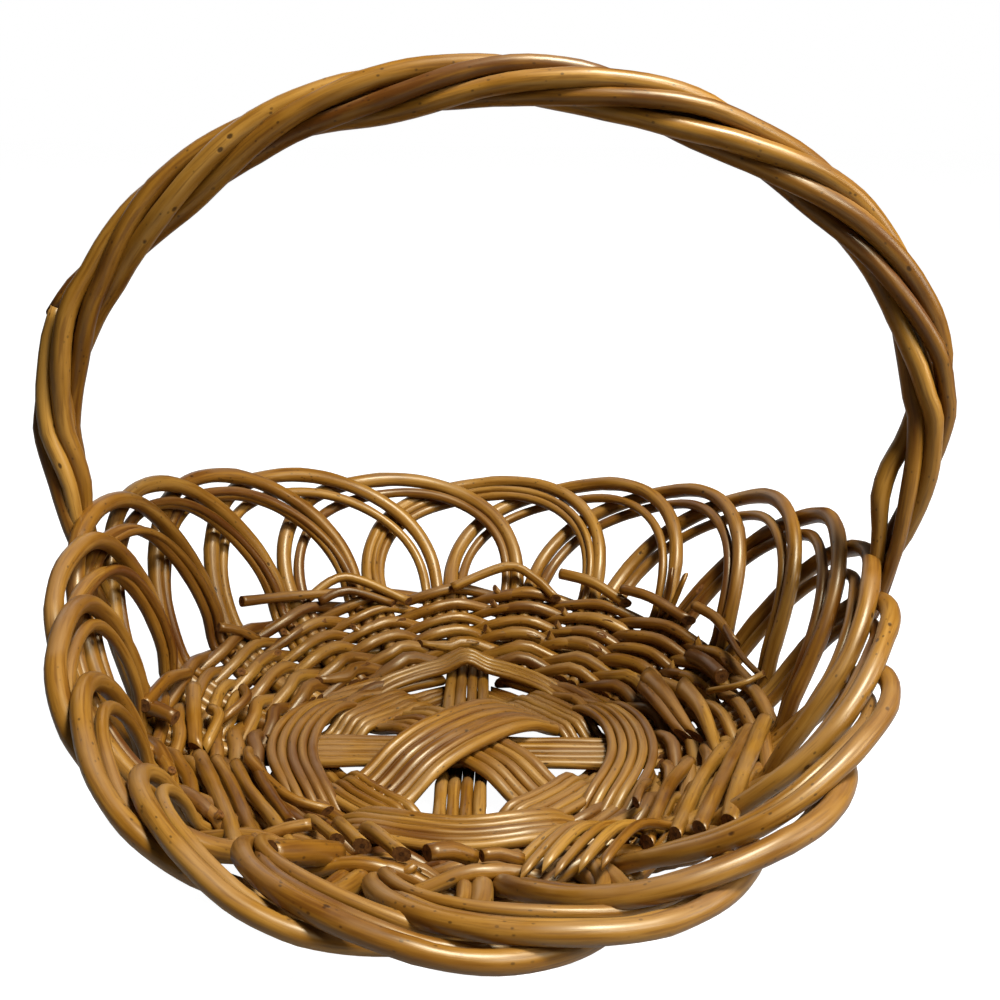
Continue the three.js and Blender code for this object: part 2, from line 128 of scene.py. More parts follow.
@dataclass
class RodBench:
    """Turns rods into one mesh piece with a rod-long UV map and a tone for each rod."""

    seed: int = 7
    pith_share: float = 0.3
    swell_share: float = 0.05
    swell_length: float = 0.0035
    swell_spread: tuple[float, float] = (0.6, 1.4)
    wobble_share: float = 0.03
    wobble_pitches: tuple[float, float] = (95.0, 230.0)
    fine_wobble: float = 0.6
    flatness: float = 0.05
    grain_start: float = 20.0
    upright_share: float = 0.9

    def smooth_path(self, rod: Rod) -> list[Vector]:
        """Runs a smooth curve through a rod's places.

        Args:
            rod: The rod with its rough path.

        Returns:
            Points along the curve, about one step apart.
        """
        places = rod.path
        points: list[Vector] = []
        for i in range(len(places) - 1):
            before = places[max(i - 1, 0)]
            here = places[i]
            there = places[i + 1]
            after = places[min(i + 2, len(places) - 1)]
            count = max(1, round((there - here).length / rod.step))
            for j in range(count):
                t = j / count
                pull_here = (there - before) * rod.tension
                pull_there = (after - here) * rod.tension
                points.append(
                    here * (2 * t**3 - 3 * t**2 + 1)
                    + pull_here * (t**3 - 2 * t**2 + t)
                    + there * (3 * t**2 - 2 * t**3)
                    + pull_there * (t**3 - t**2)
                )
        points.append(places[-1].copy())
        return points

    def frames(self, points: list[Vector]) -> list[Matrix]:
        """Carries a square frame along a path without twisting it.

        Args:
            points: Points along the path.

        Returns:
            One 3x3 matrix for each point: across, up and along as columns.
        """
        last = len(points) - 1
        along = [
            (points[min(i + 1, last)] - points[max(i - 1, 0)]).normalized() for i in range(last + 1)
        ]
        guide = Vector((0, 0, 1)) if abs(along[0].z) < self.upright_share else Vector((1, 0, 0))
        across = guide.cross(along[0]).normalized()
        result: list[Matrix] = []
        for direction in along:
            across = (across - direction * across.dot(direction)).normalized()
            up = direction.cross(across)
            result.append(Matrix((across, up, direction)).transposed())
        return result

    def blank(self) -> bmesh.types.BMesh:
        """Starts an empty mesh with the layers that every rod carries.

        Returns:
            The mesh.
        """
        mesh = bmesh.new()
        mesh.loops.layers.uv.new(ROD_MAP)
        mesh.faces.layers.float.new(TONE)
        return mesh

    def shape(self, rod: Rod, rng: random.Random) -> bmesh.types.BMesh:
        """Shapes one rod from a straight stick.

        Args:
            rod: The rod to shape.
            rng: Source of this rod's small irregularities.

        Returns:
            The mesh of the rod alone.
        """
        mesh = self.blank()
        points = self.smooth_path(rod)
        rings = len(points) - 1
        frames = self.frames(points)
        lengths = lengths_along(points)
        bmesh.ops.create_cone(
            mesh, cap_ends=True, cap_tris=False, segments=rod.sides, radius1=1, radius2=1, depth=1
        )
        bmesh.ops.translate(mesh, verts=mesh.verts[:], vec=(0, 0, 0.5))
        caps = [face for face in mesh.faces if len(face.verts) == rod.sides]
        sides = [edge for edge in mesh.edges if not edge_is_level(edge)]
        inset = bmesh.ops.inset_individual(mesh, faces=caps, thickness=1 - self.pith_share, depth=0)
        for face in inset["faces"]:
            face.material_index = Skin.CUT.value
        for face in caps:
            face.material_index = Skin.PITH.value
        bmesh.ops.subdivide_edges(mesh, edges=sides, cuts=rings - 1, use_grid_fill=True)
        for face in mesh.faces:
            face.smooth = face.material_index == Skin.BARK.value
        self.lay_uv(mesh, lengths, rod, rng)
        self.bend(mesh, points, frames, lengths, rod, rng)
        return mesh

    def lay_uv(
        self, mesh: bmesh.types.BMesh, lengths: list[float], rod: Rod, rng: random.Random
    ) -> None:
        """Lays the map while the stick is straight: turns round the rod in U, metres along it in V.

        Args:
            mesh: The mesh of the rod.
            lengths: Length along the rod at each ring.
            rod: The rod being laid.
            rng: Source of the place where this rod's grain starts.
        """
        uv_layer = mesh.loops.layers.uv[ROD_MAP]
        tone_layer = mesh.faces.layers.float[TONE]
        offset = rng.uniform(0, self.grain_start)
        rings = len(lengths) - 1
        for face in mesh.faces:
            face[tone_layer] = rod.tone
            turns = [math.atan2(loop.vert.co.y, loop.vert.co.x) / TURN for loop in face.loops]
            wrap = max(turns) - min(turns) > 0.5
            for loop, turn in zip(face.loops, turns):
                ring = min(rings, max(0, round(loop.vert.co.z * rings)))
                loop[uv_layer].uv = (turn + (1 if wrap and turn < 0 else 0), offset + lengths[ring])

    def bend(
        self,
        mesh: bmesh.types.BMesh,
        points: list[Vector],
        frames: list[Matrix],
        lengths: list[float],
        rod: Rod,
        rng: random.Random,
    ) -> None:
        """Bends the straight stick along its path, tapers it and gives it its slight swellings.

        Args:
            mesh: The mesh of the straight stick.
            points: Points along the path.
            frames: Frame at each point.
            lengths: Length along the rod at each point.
            rod: The rod being laid.
            rng: Source of the swellings.
        """
        rings = len(points) - 1
        total = lengths[-1]
        knots: list[float] = []
        place = rng.uniform(0, rod.nodes)
        while place < total:
            knots.append(place)
            place += rod.nodes * rng.uniform(*self.swell_spread)
        phases = [rng.uniform(0, TURN) for _ in range(3)]
        coarse, fine = self.wobble_pitches
        radii: list[float] = []
        for length in lengths:
            share = length / total
            radius = (rod.butt + (rod.tip - rod.butt) * share) / 2
            before = length if rod.thin_start else total
            after = total - length if rod.thin_end else total
            spare = min(before, after)
            radius *= rod.thin_share + (1 - rod.thin_share) * ease(spare / rod.thin_length)
            swell = sum(bell(length - knot, self.swell_length) for knot in knots)
            wobble = math.sin(length * coarse + phases[0])
            wobble += self.fine_wobble * math.sin(length * fine + phases[1])
            radii.append(radius * (1 + self.swell_share * swell + self.wobble_share * wobble))
        flat = 1 + self.flatness * math.sin(phases[2])
        for vert in mesh.verts:
            ring = min(rings, max(0, round(vert.co.z * rings)))
            x, y = vert.co.x, vert.co.y
            reach = 0.0
            if ring == 0:
                reach = -rod.start.value * (1 + x)
            elif ring == rings:
                reach = rod.end.value * (1 + x)
            local = Vector((x * flat, y / flat, reach)) * radii[ring]
            vert.co = points[ring] + frames[ring] @ local

    def piece(self, name: str, rods: list[Rod], finish: "WillowFinish") -> bpy.types.Object:
        """Builds a piece from its rods and dresses it.

        Args:
            name: Name of the new object.
            rods: The rods of the piece.
            finish: Finish of the bark and of the cut ends.

        Returns:
            The finished object, in place and riding on the basket.
        """
        rng = random.Random(f"{name}-{self.seed}")
        mesh = self.blank()
        carrier = bpy.data.meshes.new("one_rod")
        for rod in rods:
            single = self.shape(rod, rng)
            single.to_mesh(carrier)
            single.free()
            mesh.from_mesh(carrier)
        bpy.data.meshes.remove(carrier)
        data = bpy.data.meshes.new(name)
        mesh.to_mesh(data)
        mesh.free()
        item = add_object(name, data)
        for skin in Skin:
            data.materials.append(finish.material(skin))
        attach(item, BODY)
        LOG.info("%s: %d rods, %d faces", name, len(rods), len(data.polygons))
        return item


def add_object(name: str, data: bpy.types.ID) -> bpy.types.Object:
    """Makes an object and puts it in the scene.

    Args:
        name: Name of the object.
        data: Its mesh, lamp or camera.

    Returns:
        The object.
    """
    item = bpy.data.objects.new(name, data)
    bpy.context.scene.collection.objects.link(item)
    return item


def lengths_along(points: list[Vector]) -> list[float]:
    """Measures a path.

    Args:
        points: Points along the path.

    Returns:
        Length from the first point to each point.
    """
    lengths = [0.0]
    for before, after in zip(points, points[1:]):
        lengths.append(lengths[-1] + (after - before).length)
    return lengths


def ease(share: float) -> float:
    """Eases from 0 to 1 without a corner at either end."""
    share = min(1.0, max(0.0, share))
    return share * share * (3 - 2 * share)


def bell(distance: float, width: float) -> float:
    """Falls from 1 at no distance to nearly 0 at twice the width."""
    return math.exp(-((distance / width) ** 2))


def edge_is_level(edge: bmesh.types.BMEdge) -> bool:
    """Tells whether both ends of an edge are at one height."""
    return abs(edge.verts[0].co.z - edge.verts[1].co.z) < 1e-6


# Finishes


Colour = tuple[float, float, float, float]
Socket = bpy.types.NodeSocket
Value = Socket | float | Colour

BLACK: Colour = (0, 0, 0, 1)
WHITE: Colour = (1, 1, 1, 1)


@dataclass(frozen=True)
class RodPattern:
    """How a pattern lies on a rod: its size round it, its change along it and its finer layers."""

    across: float
    stretch: float
    detail: float = 0.0


@dataclass(frozen=True)
class NodeKit:
    """Short ways to add shader nodes to one material."""

    tree: bpy.types.NodeTree

    def put(self, node: bpy.types.Node, inputs: dict[str | int, Value]) -> None:
        """Feeds inputs of a node.

        Args:
            node: The node.
            inputs: A socket, a number or a colour for each input, by its name or place.
        """
        for key, value in inputs.items():
            if isinstance(value, Socket):
                self.tree.links.new(value, node.inputs[key])
            else:
                node.inputs[key].default_value = value

    def node(
        self, kind: str, inputs: dict[str | int, Value] | None = None, **settings: str
    ) -> bpy.types.Node:
        """Adds a node.

        Args:
            kind: Type of the node, without the ShaderNode that all of them start with.
            inputs: What its inputs get.
            settings: Properties to set on it.

        Returns:
            The new node.
        """
        node = self.tree.nodes.new(f"ShaderNode{kind}")
        for key, value in settings.items():
            setattr(node, key, value)
        self.put(node, inputs or {})
        return node

    def math(self, operation: str, first: Value, second: Value = 0.0) -> Socket:
        """Works out one value from two."""
        return self.node("Math", {0: first, 1: second}, operation=operation).outputs["Value"]

    def add(self, first: Value, second: Value) -> Socket:
        """Adds two values."""
        return self.math("ADD", first, second)

    def times(self, first: Value, second: Value) -> Socket:
        """Multiplies two values."""
        return self.math("MULTIPLY", first, second)

    def blend(self, *parts: tuple[Socket, float]) -> Socket:
        """Adds up patterns, each at its own share.

        Args:
            parts: The patterns and their shares.

        Returns:
            The sum.
        """
        total = self.times(*parts[0])
        for pattern, share in parts[1:]:
            total = self.add(total, self.times(pattern, share))
        return total

    def axis(self, place: Socket, name: str) -> Socket:
        """Takes one axis out of a place or direction."""
        return self.node("SeparateXYZ", {"Vector": place}).outputs[name]

    def round_rod(self, pattern: RodPattern) -> Socket:
        """Wraps a pattern round a rod without a seam, from the rod's own map.

        Args:
            pattern: How it lies on the rod.

        Returns:
            The place in the pattern.
        """
        rod_map = self.node("UVMap", uv_map=ROD_MAP).outputs["UV"]
        angle = self.times(self.axis(rod_map, "X"), TURN)
        place = {
            "X": self.times(self.math("COSINE", angle), pattern.across),
            "Y": self.times(self.math("SINE", angle), pattern.across),
            "Z": self.times(self.axis(rod_map, "Y"), pattern.stretch),
        }
        return self.node("CombineXYZ", place).outputs["Vector"]

    def coordinate(self, name: str) -> Socket:
        """Reads the place on the object or the direction of its surface."""
        return self.node("TexCoord").outputs[name]

    def attribute(self, name: str) -> Socket:
        """Reads a number stored on the faces."""
        return self.node("Attribute", attribute_name=name).outputs["Fac"]

    def noise(self, place: Socket, scale: float, detail: float) -> Socket:
        """Adds a cloudy pattern from 0 to 1.

        Args:
            place: Where the pattern is read.
            scale: Fineness of the pattern.
            detail: How many finer layers it has.

        Returns:
            The pattern.
        """
        inputs = {"Vector": place, "Scale": scale, "Detail": detail}
        return self.node("TexNoise", inputs).outputs["Fac"]

    def rod_noise(self, pattern: RodPattern) -> Socket:
        """Adds a cloudy pattern that is wrapped round the rod."""
        return self.noise(self.round_rod(pattern), 1.0, pattern.detail)

    def rod_spots(self, pattern: RodPattern, limits: tuple[float, float]) -> Socket:
        """Adds scattered spots round the rod, 1 inside the lower limit of their size."""
        spots = self.node("TexVoronoi", {"Vector": self.round_rod(pattern), "Scale": 1.0})
        return self.falling(spots.outputs["Distance"], limits)

    def ramp(self, value: Socket, stops: tuple[tuple[float, Colour], ...]) -> Socket:
        """Turns a value into a colour.

        Args:
            value: The value to read.
            stops: Places and colours, from low to high.

        Returns:
            The colour.
        """
        node = self.node("ValToRGB", {"Fac": value})
        bar = node.color_ramp
        while len(bar.elements) < len(stops):
            bar.elements.new(0.5)
        for element, (place, colour) in zip(bar.elements, stops):
            element.position = place
            element.color = colour
        return node.outputs["Color"]

    def rising(self, value: Socket, limits: tuple[float, float]) -> Socket:
        """Turns a value into 0 below the lower limit and 1 above the upper one."""
        return self.ramp(value, ((limits[0], BLACK), (limits[1], WHITE)))

    def falling(self, value: Socket, limits: tuple[float, float]) -> Socket:
        """Turns a value into 1 below the lower limit and 0 above the upper one."""
        return self.ramp(value, ((limits[0], WHITE), (limits[1], BLACK)))

    def mix(self, share: Socket, base: Socket, over: Colour) -> Socket:
        """Lays a colour over another one.

        Args:
            share: How much of the upper colour shows.
            base: The lower colour.
            over: The upper colour.

        Returns:
            The mixed colour.
        """
        # a Mix node of colours has them at inputs 6 and 7 and its result at output 2
        return self.node("Mix", {0: share, 6: base, 7: over}, data_type="RGBA").outputs[2]

    def bump(self, height: Socket, strength: float, distance: float) -> Socket:
        """Turns a height into a bumped surface.

        Args:
            height: The height pattern.
            strength: How strong it is.
            distance: Real height of the pattern.

        Returns:
            The bent normal.
        """
        inputs = {"Height": height, "Strength": strength, "Distance": distance}
        return self.node("Bump", inputs).outputs["Normal"]


@dataclass(frozen=True)
class CutFinish:
    """Bare wood at a rod's end: two mixed browns with little shine."""

    grain: float
    detail: float
    dark: tuple[float, Colour]
    pale: tuple[float, Colour]
    roughness: float
    gloss: float
    relief: float = 0.0
    relief_strength: float = 0.2

    def dress(self, kit: NodeKit, surface: bpy.types.Node) -> None:
        """Dresses a material's surface shader as bare wood.

        Args:
            kit: Adds the nodes.
            surface: The surface shader.
        """
        blur = kit.noise(kit.coordinate("Object"), self.grain, self.detail)
        inputs = {
            "Base Color": kit.ramp(blur, (self.dark, self.pale)),
            "Roughness": self.roughness,
            "Specular IOR Level": self.gloss,
        }
        if self.relief:
            inputs["Normal"] = kit.bump(blur, self.relief_strength, self.relief)
        kit.put(surface, inputs)


CUT_WOOD = CutFinish(
    grain=900.0,
    detail=3.0,
    dark=(0.35, (0.075, 0.026, 0.005, 1)),
    pale=(0.65, (0.16, 0.062, 0.012, 1)),
    roughness=0.8,
    gloss=0.15,
    relief=0.0004,
)
PITH = CutFinish(
    grain=1500.0,
    detail=2.0,
    dark=(0.3, (0.025, 0.008, 0.002, 1)),
    pale=(0.7, (0.1, 0.04, 0.01, 1)),
    roughness=0.9,
    gloss=0.1,
)


@dataclass(frozen=True)
class WillowFinish:
    """Varnished willow: golden bark with fine grain, leaf scars, and a painted sheen that pales
    upward faces to a grey brown.
    """

    slot: str
    pale: Colour
    middle: Colour
    deep: Colour
    grain: RodPattern = RodPattern(1.6, 26.0, 6.0)
    fine_grain: RodPattern = RodPattern(3.4, 48.0, 4.0)
    patches: RodPattern = RodPattern(0.6, 30.0, 2.0)
    scars: RodPattern = RodPattern(0.4, 62.0)
    specks: RodPattern = RodPattern(1.4, 230.0)
    broad: tuple[float, float] = (14.0, 2.0)
    speck_field: tuple[float, float] = (60.0, 1.0)
    sheen_field: tuple[float, float] = (26.0, 4.0)
    mixture: tuple[float, float, float] = (0.42, 0.32, 0.26)
    levels: tuple[float, float, float] = (0.33, 0.49, 0.68)
    streak_limits: tuple[float, float] = (0.36, 0.47)
    scar_limits: tuple[float, float] = (0.055, 0.1)
    speck_limits: tuple[float, float] = (0.12, 0.2)
    speck_field_limits: tuple[float, float] = (0.46, 0.56)
    sheen_limits: tuple[float, float] = (0.42, 0.58)
    top_limits: tuple[float, float] = (0.45, 0.9)
    scar_darkness: tuple[float, float, float] = (0.25, 0.2, 0.3)
    streak_share: float = 0.45
    scar_share: float = 0.85
    speck_share: float = 0.7
    # painted sheen: pale grey-brown colour and its share, laid on upward faces as light from above
    painted_sheen: Colour = (0.25, 0.155, 0.082, 1)
    sheen_share: float = 0.3
    roughness: float = 0.38
    roughness_spread: tuple[float, float] = (0.3, 0.12)
    roughness_middle: float = 0.18
    coat: float = 0.3
    coat_roughness: float = 0.3
    refraction: float = 1.5
    glint: Colour = (1.0, 0.84, 0.44, 1)
    relief: float = 0.0008
    relief_strength: float = 0.4
    relief_shares: tuple[float, float, float] = (0.5, 0.25, -0.6)

    def material(self, skin: Skin) -> bpy.types.Material:
        """Makes the material of one kind of face, once for all pieces that share this finish.

        Args:
            skin: The kind of face.

        Returns:
            The material.
        """
        name = f"{self.slot}_{skin.name.lower()}"
        if name in bpy.data.materials:
            return bpy.data.materials[name]
        material = bpy.data.materials.new(name)
        material.use_nodes = True
        finish = {Skin.BARK: self, Skin.CUT: CUT_WOOD, Skin.PITH: PITH}[skin]
        finish.dress(NodeKit(material.node_tree), material.node_tree.nodes["Principled BSDF"])
        return material

    def dress(self, kit: NodeKit, surface: bpy.types.Node) -> None:
        """Dresses a material's surface shader as varnished bark.

        Args:
            kit: Adds the nodes.
            surface: The surface shader.
        """
        # grain runs along the rod, so it is squeezed hard round it and stretched along it
        grain = kit.rod_noise(self.grain)
        fine = kit.rod_noise(self.fine_grain)
        patches = kit.rod_noise(self.patches)
        place = kit.coordinate("Object")
        mixture = zip((grain, patches, kit.noise(place, *self.broad)), self.mixture)
        level = kit.add(kit.blend(*mixture), kit.attribute(TONE))
        colour = kit.ramp(level, tuple(zip(self.levels, (self.deep, self.middle, self.pale))))
        streaks = kit.falling(fine, self.streak_limits)
        scars = kit.rod_spots(self.scars, self.scar_limits)
        specks = kit.rod_spots(self.specks, self.speck_limits)
        specked = kit.rising(kit.noise(place, *self.speck_field), self.speck_field_limits)
        # painted sheen: upward faces are paled to a grey brown in patches, standing in for the
        # lamps' sheen from above
        painted_sheen = kit.rising(kit.noise(place, *self.sheen_field), self.sheen_limits)
        top = kit.rising(kit.axis(kit.coordinate("Normal"), "Z"), self.top_limits)
        dark = (*(part * share for part, share in zip(self.deep, self.scar_darkness)), 1)
        for pattern, share, over in (
            (streaks, self.streak_share, self.deep),
            (scars, self.scar_share, dark),
            (kit.times(specks, specked), self.speck_share, dark),
            (kit.times(painted_sheen, top), self.sheen_share, self.painted_sheen),
        ):
            colour = kit.mix(kit.times(pattern, share), colour, over)
        spread = kit.blend(*zip((patches, grain), self.roughness_spread))
        rough = kit.add(spread, self.roughness - self.roughness_middle)
        height = kit.blend(*zip((grain, fine, scars), self.relief_shares))
        inputs = {
            "Base Color": colour,
            "Roughness": rough,
            "Normal": kit.bump(height, self.relief_strength, self.relief),
            "Coat Weight": self.coat,
            "Coat Roughness": self.coat_roughness,
            "IOR": self.refraction,
            "Specular Tint": self.glint,
        }
        kit.put(surface, inputs)


BASE_FINISH = WillowFinish(
    "base_willow", (0.31, 0.152, 0.024, 1), (0.185, 0.074, 0.005, 1), (0.078, 0.021, 0.002, 1)
)
WEAVER_FINISH = WillowFinish(
    "weaver_willow", (0.31, 0.15, 0.02, 1), (0.19, 0.075, 0.005, 1), (0.075, 0.021, 0.0015, 1)
)
BORDER_FINISH = WillowFinish(
    "border_willow", (0.325, 0.16, 0.026, 1), (0.2, 0.082, 0.007, 1), (0.085, 0.024, 0.002, 1)
)
# painted light: the bow's willow is a paler copy of the other finishes, standing in for the
# stronger light on the high arch
HANDLE_PAINTED_LIGHT_FINISH = WillowFinish(
    "handle_willow", (0.345, 0.17, 0.027, 1), (0.22, 0.093, 0.008, 1), (0.085, 0.025, 0.002, 1)
)


# Basket form


def curve(share: float, first: float, pull: float, last: float) -> float:
    """Reads a curve from its first to its last value, drawn towards the pull between them."""
    rest = 1 - share
    return rest**2 * first + 2 * share * rest * pull + share**2 * last


@dataclass
class BasketForm:
    """The bowl that the rods follow: the wall and the saddle-shaped border above it."""

    centre: Vector
    foot_radius: float = 0.0938
    foot_height: float = 0.0086
    knee_radius: float = 0.122
    knee_height: float = 0.014
    top_radius: float = 0.145
    top_height: float = 0.035
    loops: int = 20
    span: int = 3
    first_angle: float = math.radians(132)
    rod_gap: float = 0.0003
    reach: float = 0.047
    rise: float = 0.061
    side_reach_drop: float = 0.020
    side_rise: float = 0.025
    right_reach: float = 0.008
    right_rise_drop: float = 0.006
    front_reach: float = 0.006
    back_rise: float = 0.009
    wall_steps: int = 64
    wall_table: list[tuple[float, float, float]] = field(default_factory=list)

    def __post_init__(self) -> None:
        """Measures the wall's profile once, as length, radius and height."""
        before: tuple[float, float] | None = None
        length = 0.0
        for i in range(self.wall_steps + 1):
            share = i / self.wall_steps
            radius = curve(share, self.foot_radius, self.knee_radius, self.top_radius)
            height = curve(share, self.foot_height, self.knee_height, self.top_height)
            if before:
                length += math.hypot(radius - before[0], height - before[1])
            before = (radius, height)
            self.wall_table.append((length, radius, height))

    @property
    def wall_length(self) -> float:
        """Length of the wall from foot to top."""
        return self.wall_table[-1][0]

    def profile(self, share: float) -> tuple[float, float, float, float]:
        """Finds a place on the wall's profile.

        Args:
            share: Place along it, 0 at the foot and 1 at the top, and beyond in a straight line.

        Returns:
            Radius, height, and the direction up the wall as outward and upward parts.
        """
        wanted = share * self.wall_length
        index = 0
        while index < self.wall_steps - 1 and self.wall_table[index + 1][0] < wanted:
            index += 1
        low = self.wall_table[index]
        high = self.wall_table[index + 1]
        step = high[0] - low[0]
        part = (wanted - low[0]) / step
        out = (high[1] - low[1]) / step
        lift = (high[2] - low[2]) / step
        radius, height = (low[i] + (high[i] - low[i]) * part for i in (1, 2))
        return radius, height, out, lift

    def point(self, radius: float, angle: float, height: float) -> Vector:
        """Places a point by its radius, angle and height round the base."""
        return self.centre + Vector((radius * math.cos(angle), radius * math.sin(angle), height))

    def wall(self, share: float, angle: float, outward: float = 0.0, upward: float = 0.0) -> Vector:
        """Places a point on or beside the wall.

        Args:
            share: Place up the wall.
            angle: Angle round the basket.
            outward: Distance outside the wall.
            upward: Distance further up along the wall.

        Returns:
            The point.
        """
        radius, height, out, lift = self.profile(share)
        radius += lift * outward + out * upward
        return self.point(radius, angle, height - out * outward + lift * upward)

    def wall_radius(self, share: float) -> float:
        """Radius of the wall at a place up it."""
        return self.profile(share)[0]

    def border(self, share: float, angle: float, outward: float = 0.0) -> Vector:
        """Places a point on or beside the border.

        Args:
            share: Place up the border, 0 at the top of the wall and 1 at the crest of the loops.
            angle: Angle round the basket.
            outward: Distance outside the border.

        Returns:
            The point.
        """
        reach = self.reach - self.side_reach_drop * math.cos(2 * angle)
        reach += self.right_reach * math.cos(angle) - self.front_reach * math.sin(angle)
        rise = self.rise + self.side_rise * math.cos(2 * angle)
        rise += self.back_rise * math.sin(angle) - self.right_rise_drop * math.cos(angle)
        slant = math.hypot(reach, rise)
        radius = self.top_radius + share * reach + outward * rise / slant
        return self.point(radius, angle, self.top_height + share * rise - outward * reach / slant)

    def group_angle(self, group: float) -> float:
        """Angle of a stake group, counted clockwise from the back left."""
        return self.first_angle - group * TURN / self.loops


# Border


@dataclass
class LoopBorder:
    """The open border: each loop rises at one stake group and dives into the third one on."""

    form: BasketForm
    bench: RodBench
    outer_thickness: float = 0.0086
    outer_tip: float = 0.0072
    inner_thickness: float = 0.0062
    inner_tip: float = 0.0050
    cad_outer: float = 0.0072
    cad_inner: float = 0.0052
    inner_height: float = 0.86
    second_thickness: float = 0.0056
    second_heights: tuple[float, float] = (0.93, 0.74)
    second_share: float = 0.6
    second_limit: float = 0.5
    second_tip: float = 0.85
    second_aside: float = 1.9
    second_inward: float = -0.0036
    second_foot: float = 0.82
    rise_shares: tuple[float, ...] = (0.0, 0.12, 0.4, 0.7, 1.0)
    dive_shares: tuple[float, ...] = (1.0, 0.75, 0.5)
    layer: float = 0.0047
    arc_steps: int = 15
    outer_sides: int = 14
    second_sides: int = 10
    outer_spread: RodSpread = RodSpread((0.95, 1.04), (0.95, 1.05), (-0.07, 0.07))
    inner_spread: RodSpread = RodSpread((0.95, 1.05), (0.9, 1.05), (-0.1, 0.07))
    height_spread: tuple[float, float] = (-0.02, 0.02)
    lean_spread: tuple[float, float] = (-0.02, 0.02)
    second_height_spread: tuple[float, float] = (-0.03, 0.02)
    second_lean_spread: tuple[float, float] = (-0.03, 0.03)
    second_girth_spread: tuple[float, float] = (0.85, 1.12)
    second_tone_spread: tuple[float, float] = (-0.12, 0.05)
    seed: int = 20

    def leg_offset(self, inner: bool) -> float:
        """Finds how far a rod stands beside the middle of its stake group.

        Args:
            inner: Whether it is the thin rod inside the loop.

        Returns:
            The distance.
        """
        outer = (self.cad_outer + self.form.rod_gap) / 2
        if not inner:
            return outer
        return outer + (self.cad_outer + self.cad_inner) / 2 + self.form.rod_gap

    def arc(
        self, start: float, finish: float, height: float, lean: float, inward: float = 0.0
    ) -> list[Vector]:
        """Lays the free part of a loop, which passes outside in one half and inside in the other.

        Args:
            start: Angle round the basket where it leaves the wall.
            finish: Angle where it comes back.
            height: Height of its crest, as a share of the border's.
            lean: Angle by which the crest leans to one side.
            inward: Distance outside the border's middle at both ends, and half of it at the crest.

        Returns:
            Places along the loop, without its ends.
        """
        places: list[Vector] = []
        for i in range(1, self.arc_steps):
            turn = math.pi * i / self.arc_steps
            angle = (start + finish) / 2 + (start - finish) / 2 * math.cos(turn)
            angle += lean * math.sin(turn)
            swing = math.sin(2 * turn)
            layer = self.layer * swing * (2 - abs(swing)) + inward * (1 - 0.5 * math.sin(turn))
            places.append(self.form.border(height * math.sin(turn), angle, layer))
        return places

    def path(self, group: int, inner: bool, rng: random.Random) -> list[Vector]:
        """Lays one rod of a loop up the wall, over the border and down into a later group.

        Args:
            group: The stake group where the loop rises.
            inner: Whether this is the thin rod inside the loop.
            rng: Source of small irregularities.

        Returns:
            Places along the rod.
        """
        form = self.form
        side = self.leg_offset(inner)
        height = self.inner_height if inner else 1.0
        height *= 1 + rng.uniform(*self.height_spread)
        start = form.group_angle(group)
        finish = form.group_angle(group + form.span)
        aside = side / form.top_radius
        lean = rng.uniform(*self.lean_spread)
        rise = ((share, start - side / form.wall_radius(share)) for share in self.rise_shares)
        dive = ((share, finish + side / form.wall_radius(share)) for share in self.dive_shares)
        return [
            *(form.wall(share, angle) for share, angle in rise),
            *self.arc(start - aside, finish + aside, height, lean),
            *(form.wall(share, angle) for share, angle in dive),
        ]

    def second_rod(self, group: int, rng: random.Random) -> Rod:
        """Lays the short second inner rod of a loop, tucked into the wall's top row at both ends.

        Args:
            group: The stake group where the loop rises.
            rng: Source of small irregularities.

        Returns:
            The rod: close under the crest at the back of the basket, lower down at the front.
        """
        form = self.form
        side = self.leg_offset(False) * self.second_aside
        start = form.group_angle(group) - side / form.top_radius
        finish = form.group_angle(group + form.span) + side / form.top_radius
        back = 0.5 + 0.5 * math.sin((start + finish) / 2)
        high, low = self.second_heights
        height = (low + (high - low) * back) * (1 + rng.uniform(*self.second_height_spread))
        lean = rng.uniform(*self.second_lean_spread)
        inward = self.second_inward
        places = [
            *(form.wall(share, start, inward) for share in (self.second_foot, 1.0)),
            *self.arc(start, finish, height, lean, inward),
            *(form.wall(share, finish, inward) for share in (1.0, self.second_foot)),
        ]
        thickness = self.second_thickness * rng.uniform(*self.second_girth_spread)
        tip = thickness * self.second_tip
        tone = rng.uniform(*self.second_tone_spread)
        return Rod(places, thickness, tip, tone, sides=self.second_sides)

    def build(self) -> None:
        """Builds every loop in place of its solid."""
        for group in range(self.form.loops):
            rng = random.Random(self.seed * 100 + group)
            path = self.path(group, False, rng)
            outer = self.outer_spread.rod(path, self.outer_thickness, self.outer_tip, rng)
            path = self.path(group, True, rng)
            inner = self.inner_spread.rod(path, self.inner_thickness, self.inner_tip, rng)
            rods = [replace(outer, sides=self.outer_sides), inner]
            crest = self.form.group_angle(group + self.form.span / 2)
            at_left_or_back = math.cos(crest) < self.second_limit
            if rng.random() < self.second_share and at_left_or_back:
                rods.append(self.second_rod(group, rng))
            node = f"border_loop_{group + 1:02d}"
            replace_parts(self.bench.piece(f"{node}_rods", rods, BORDER_FINISH), node)


# Wall


@dataclass(frozen=True)
class LooseRod:
    """A short rod end that stands out of a weaver, in millimetres from the base's middle."""

    places: tuple[tuple[float, float, float], ...]
    thickness: float
    tone: float = -0.06
    end: Cut = Cut.SLANTED
    start: Cut = Cut.SQUARE
    taper: float = 0.9


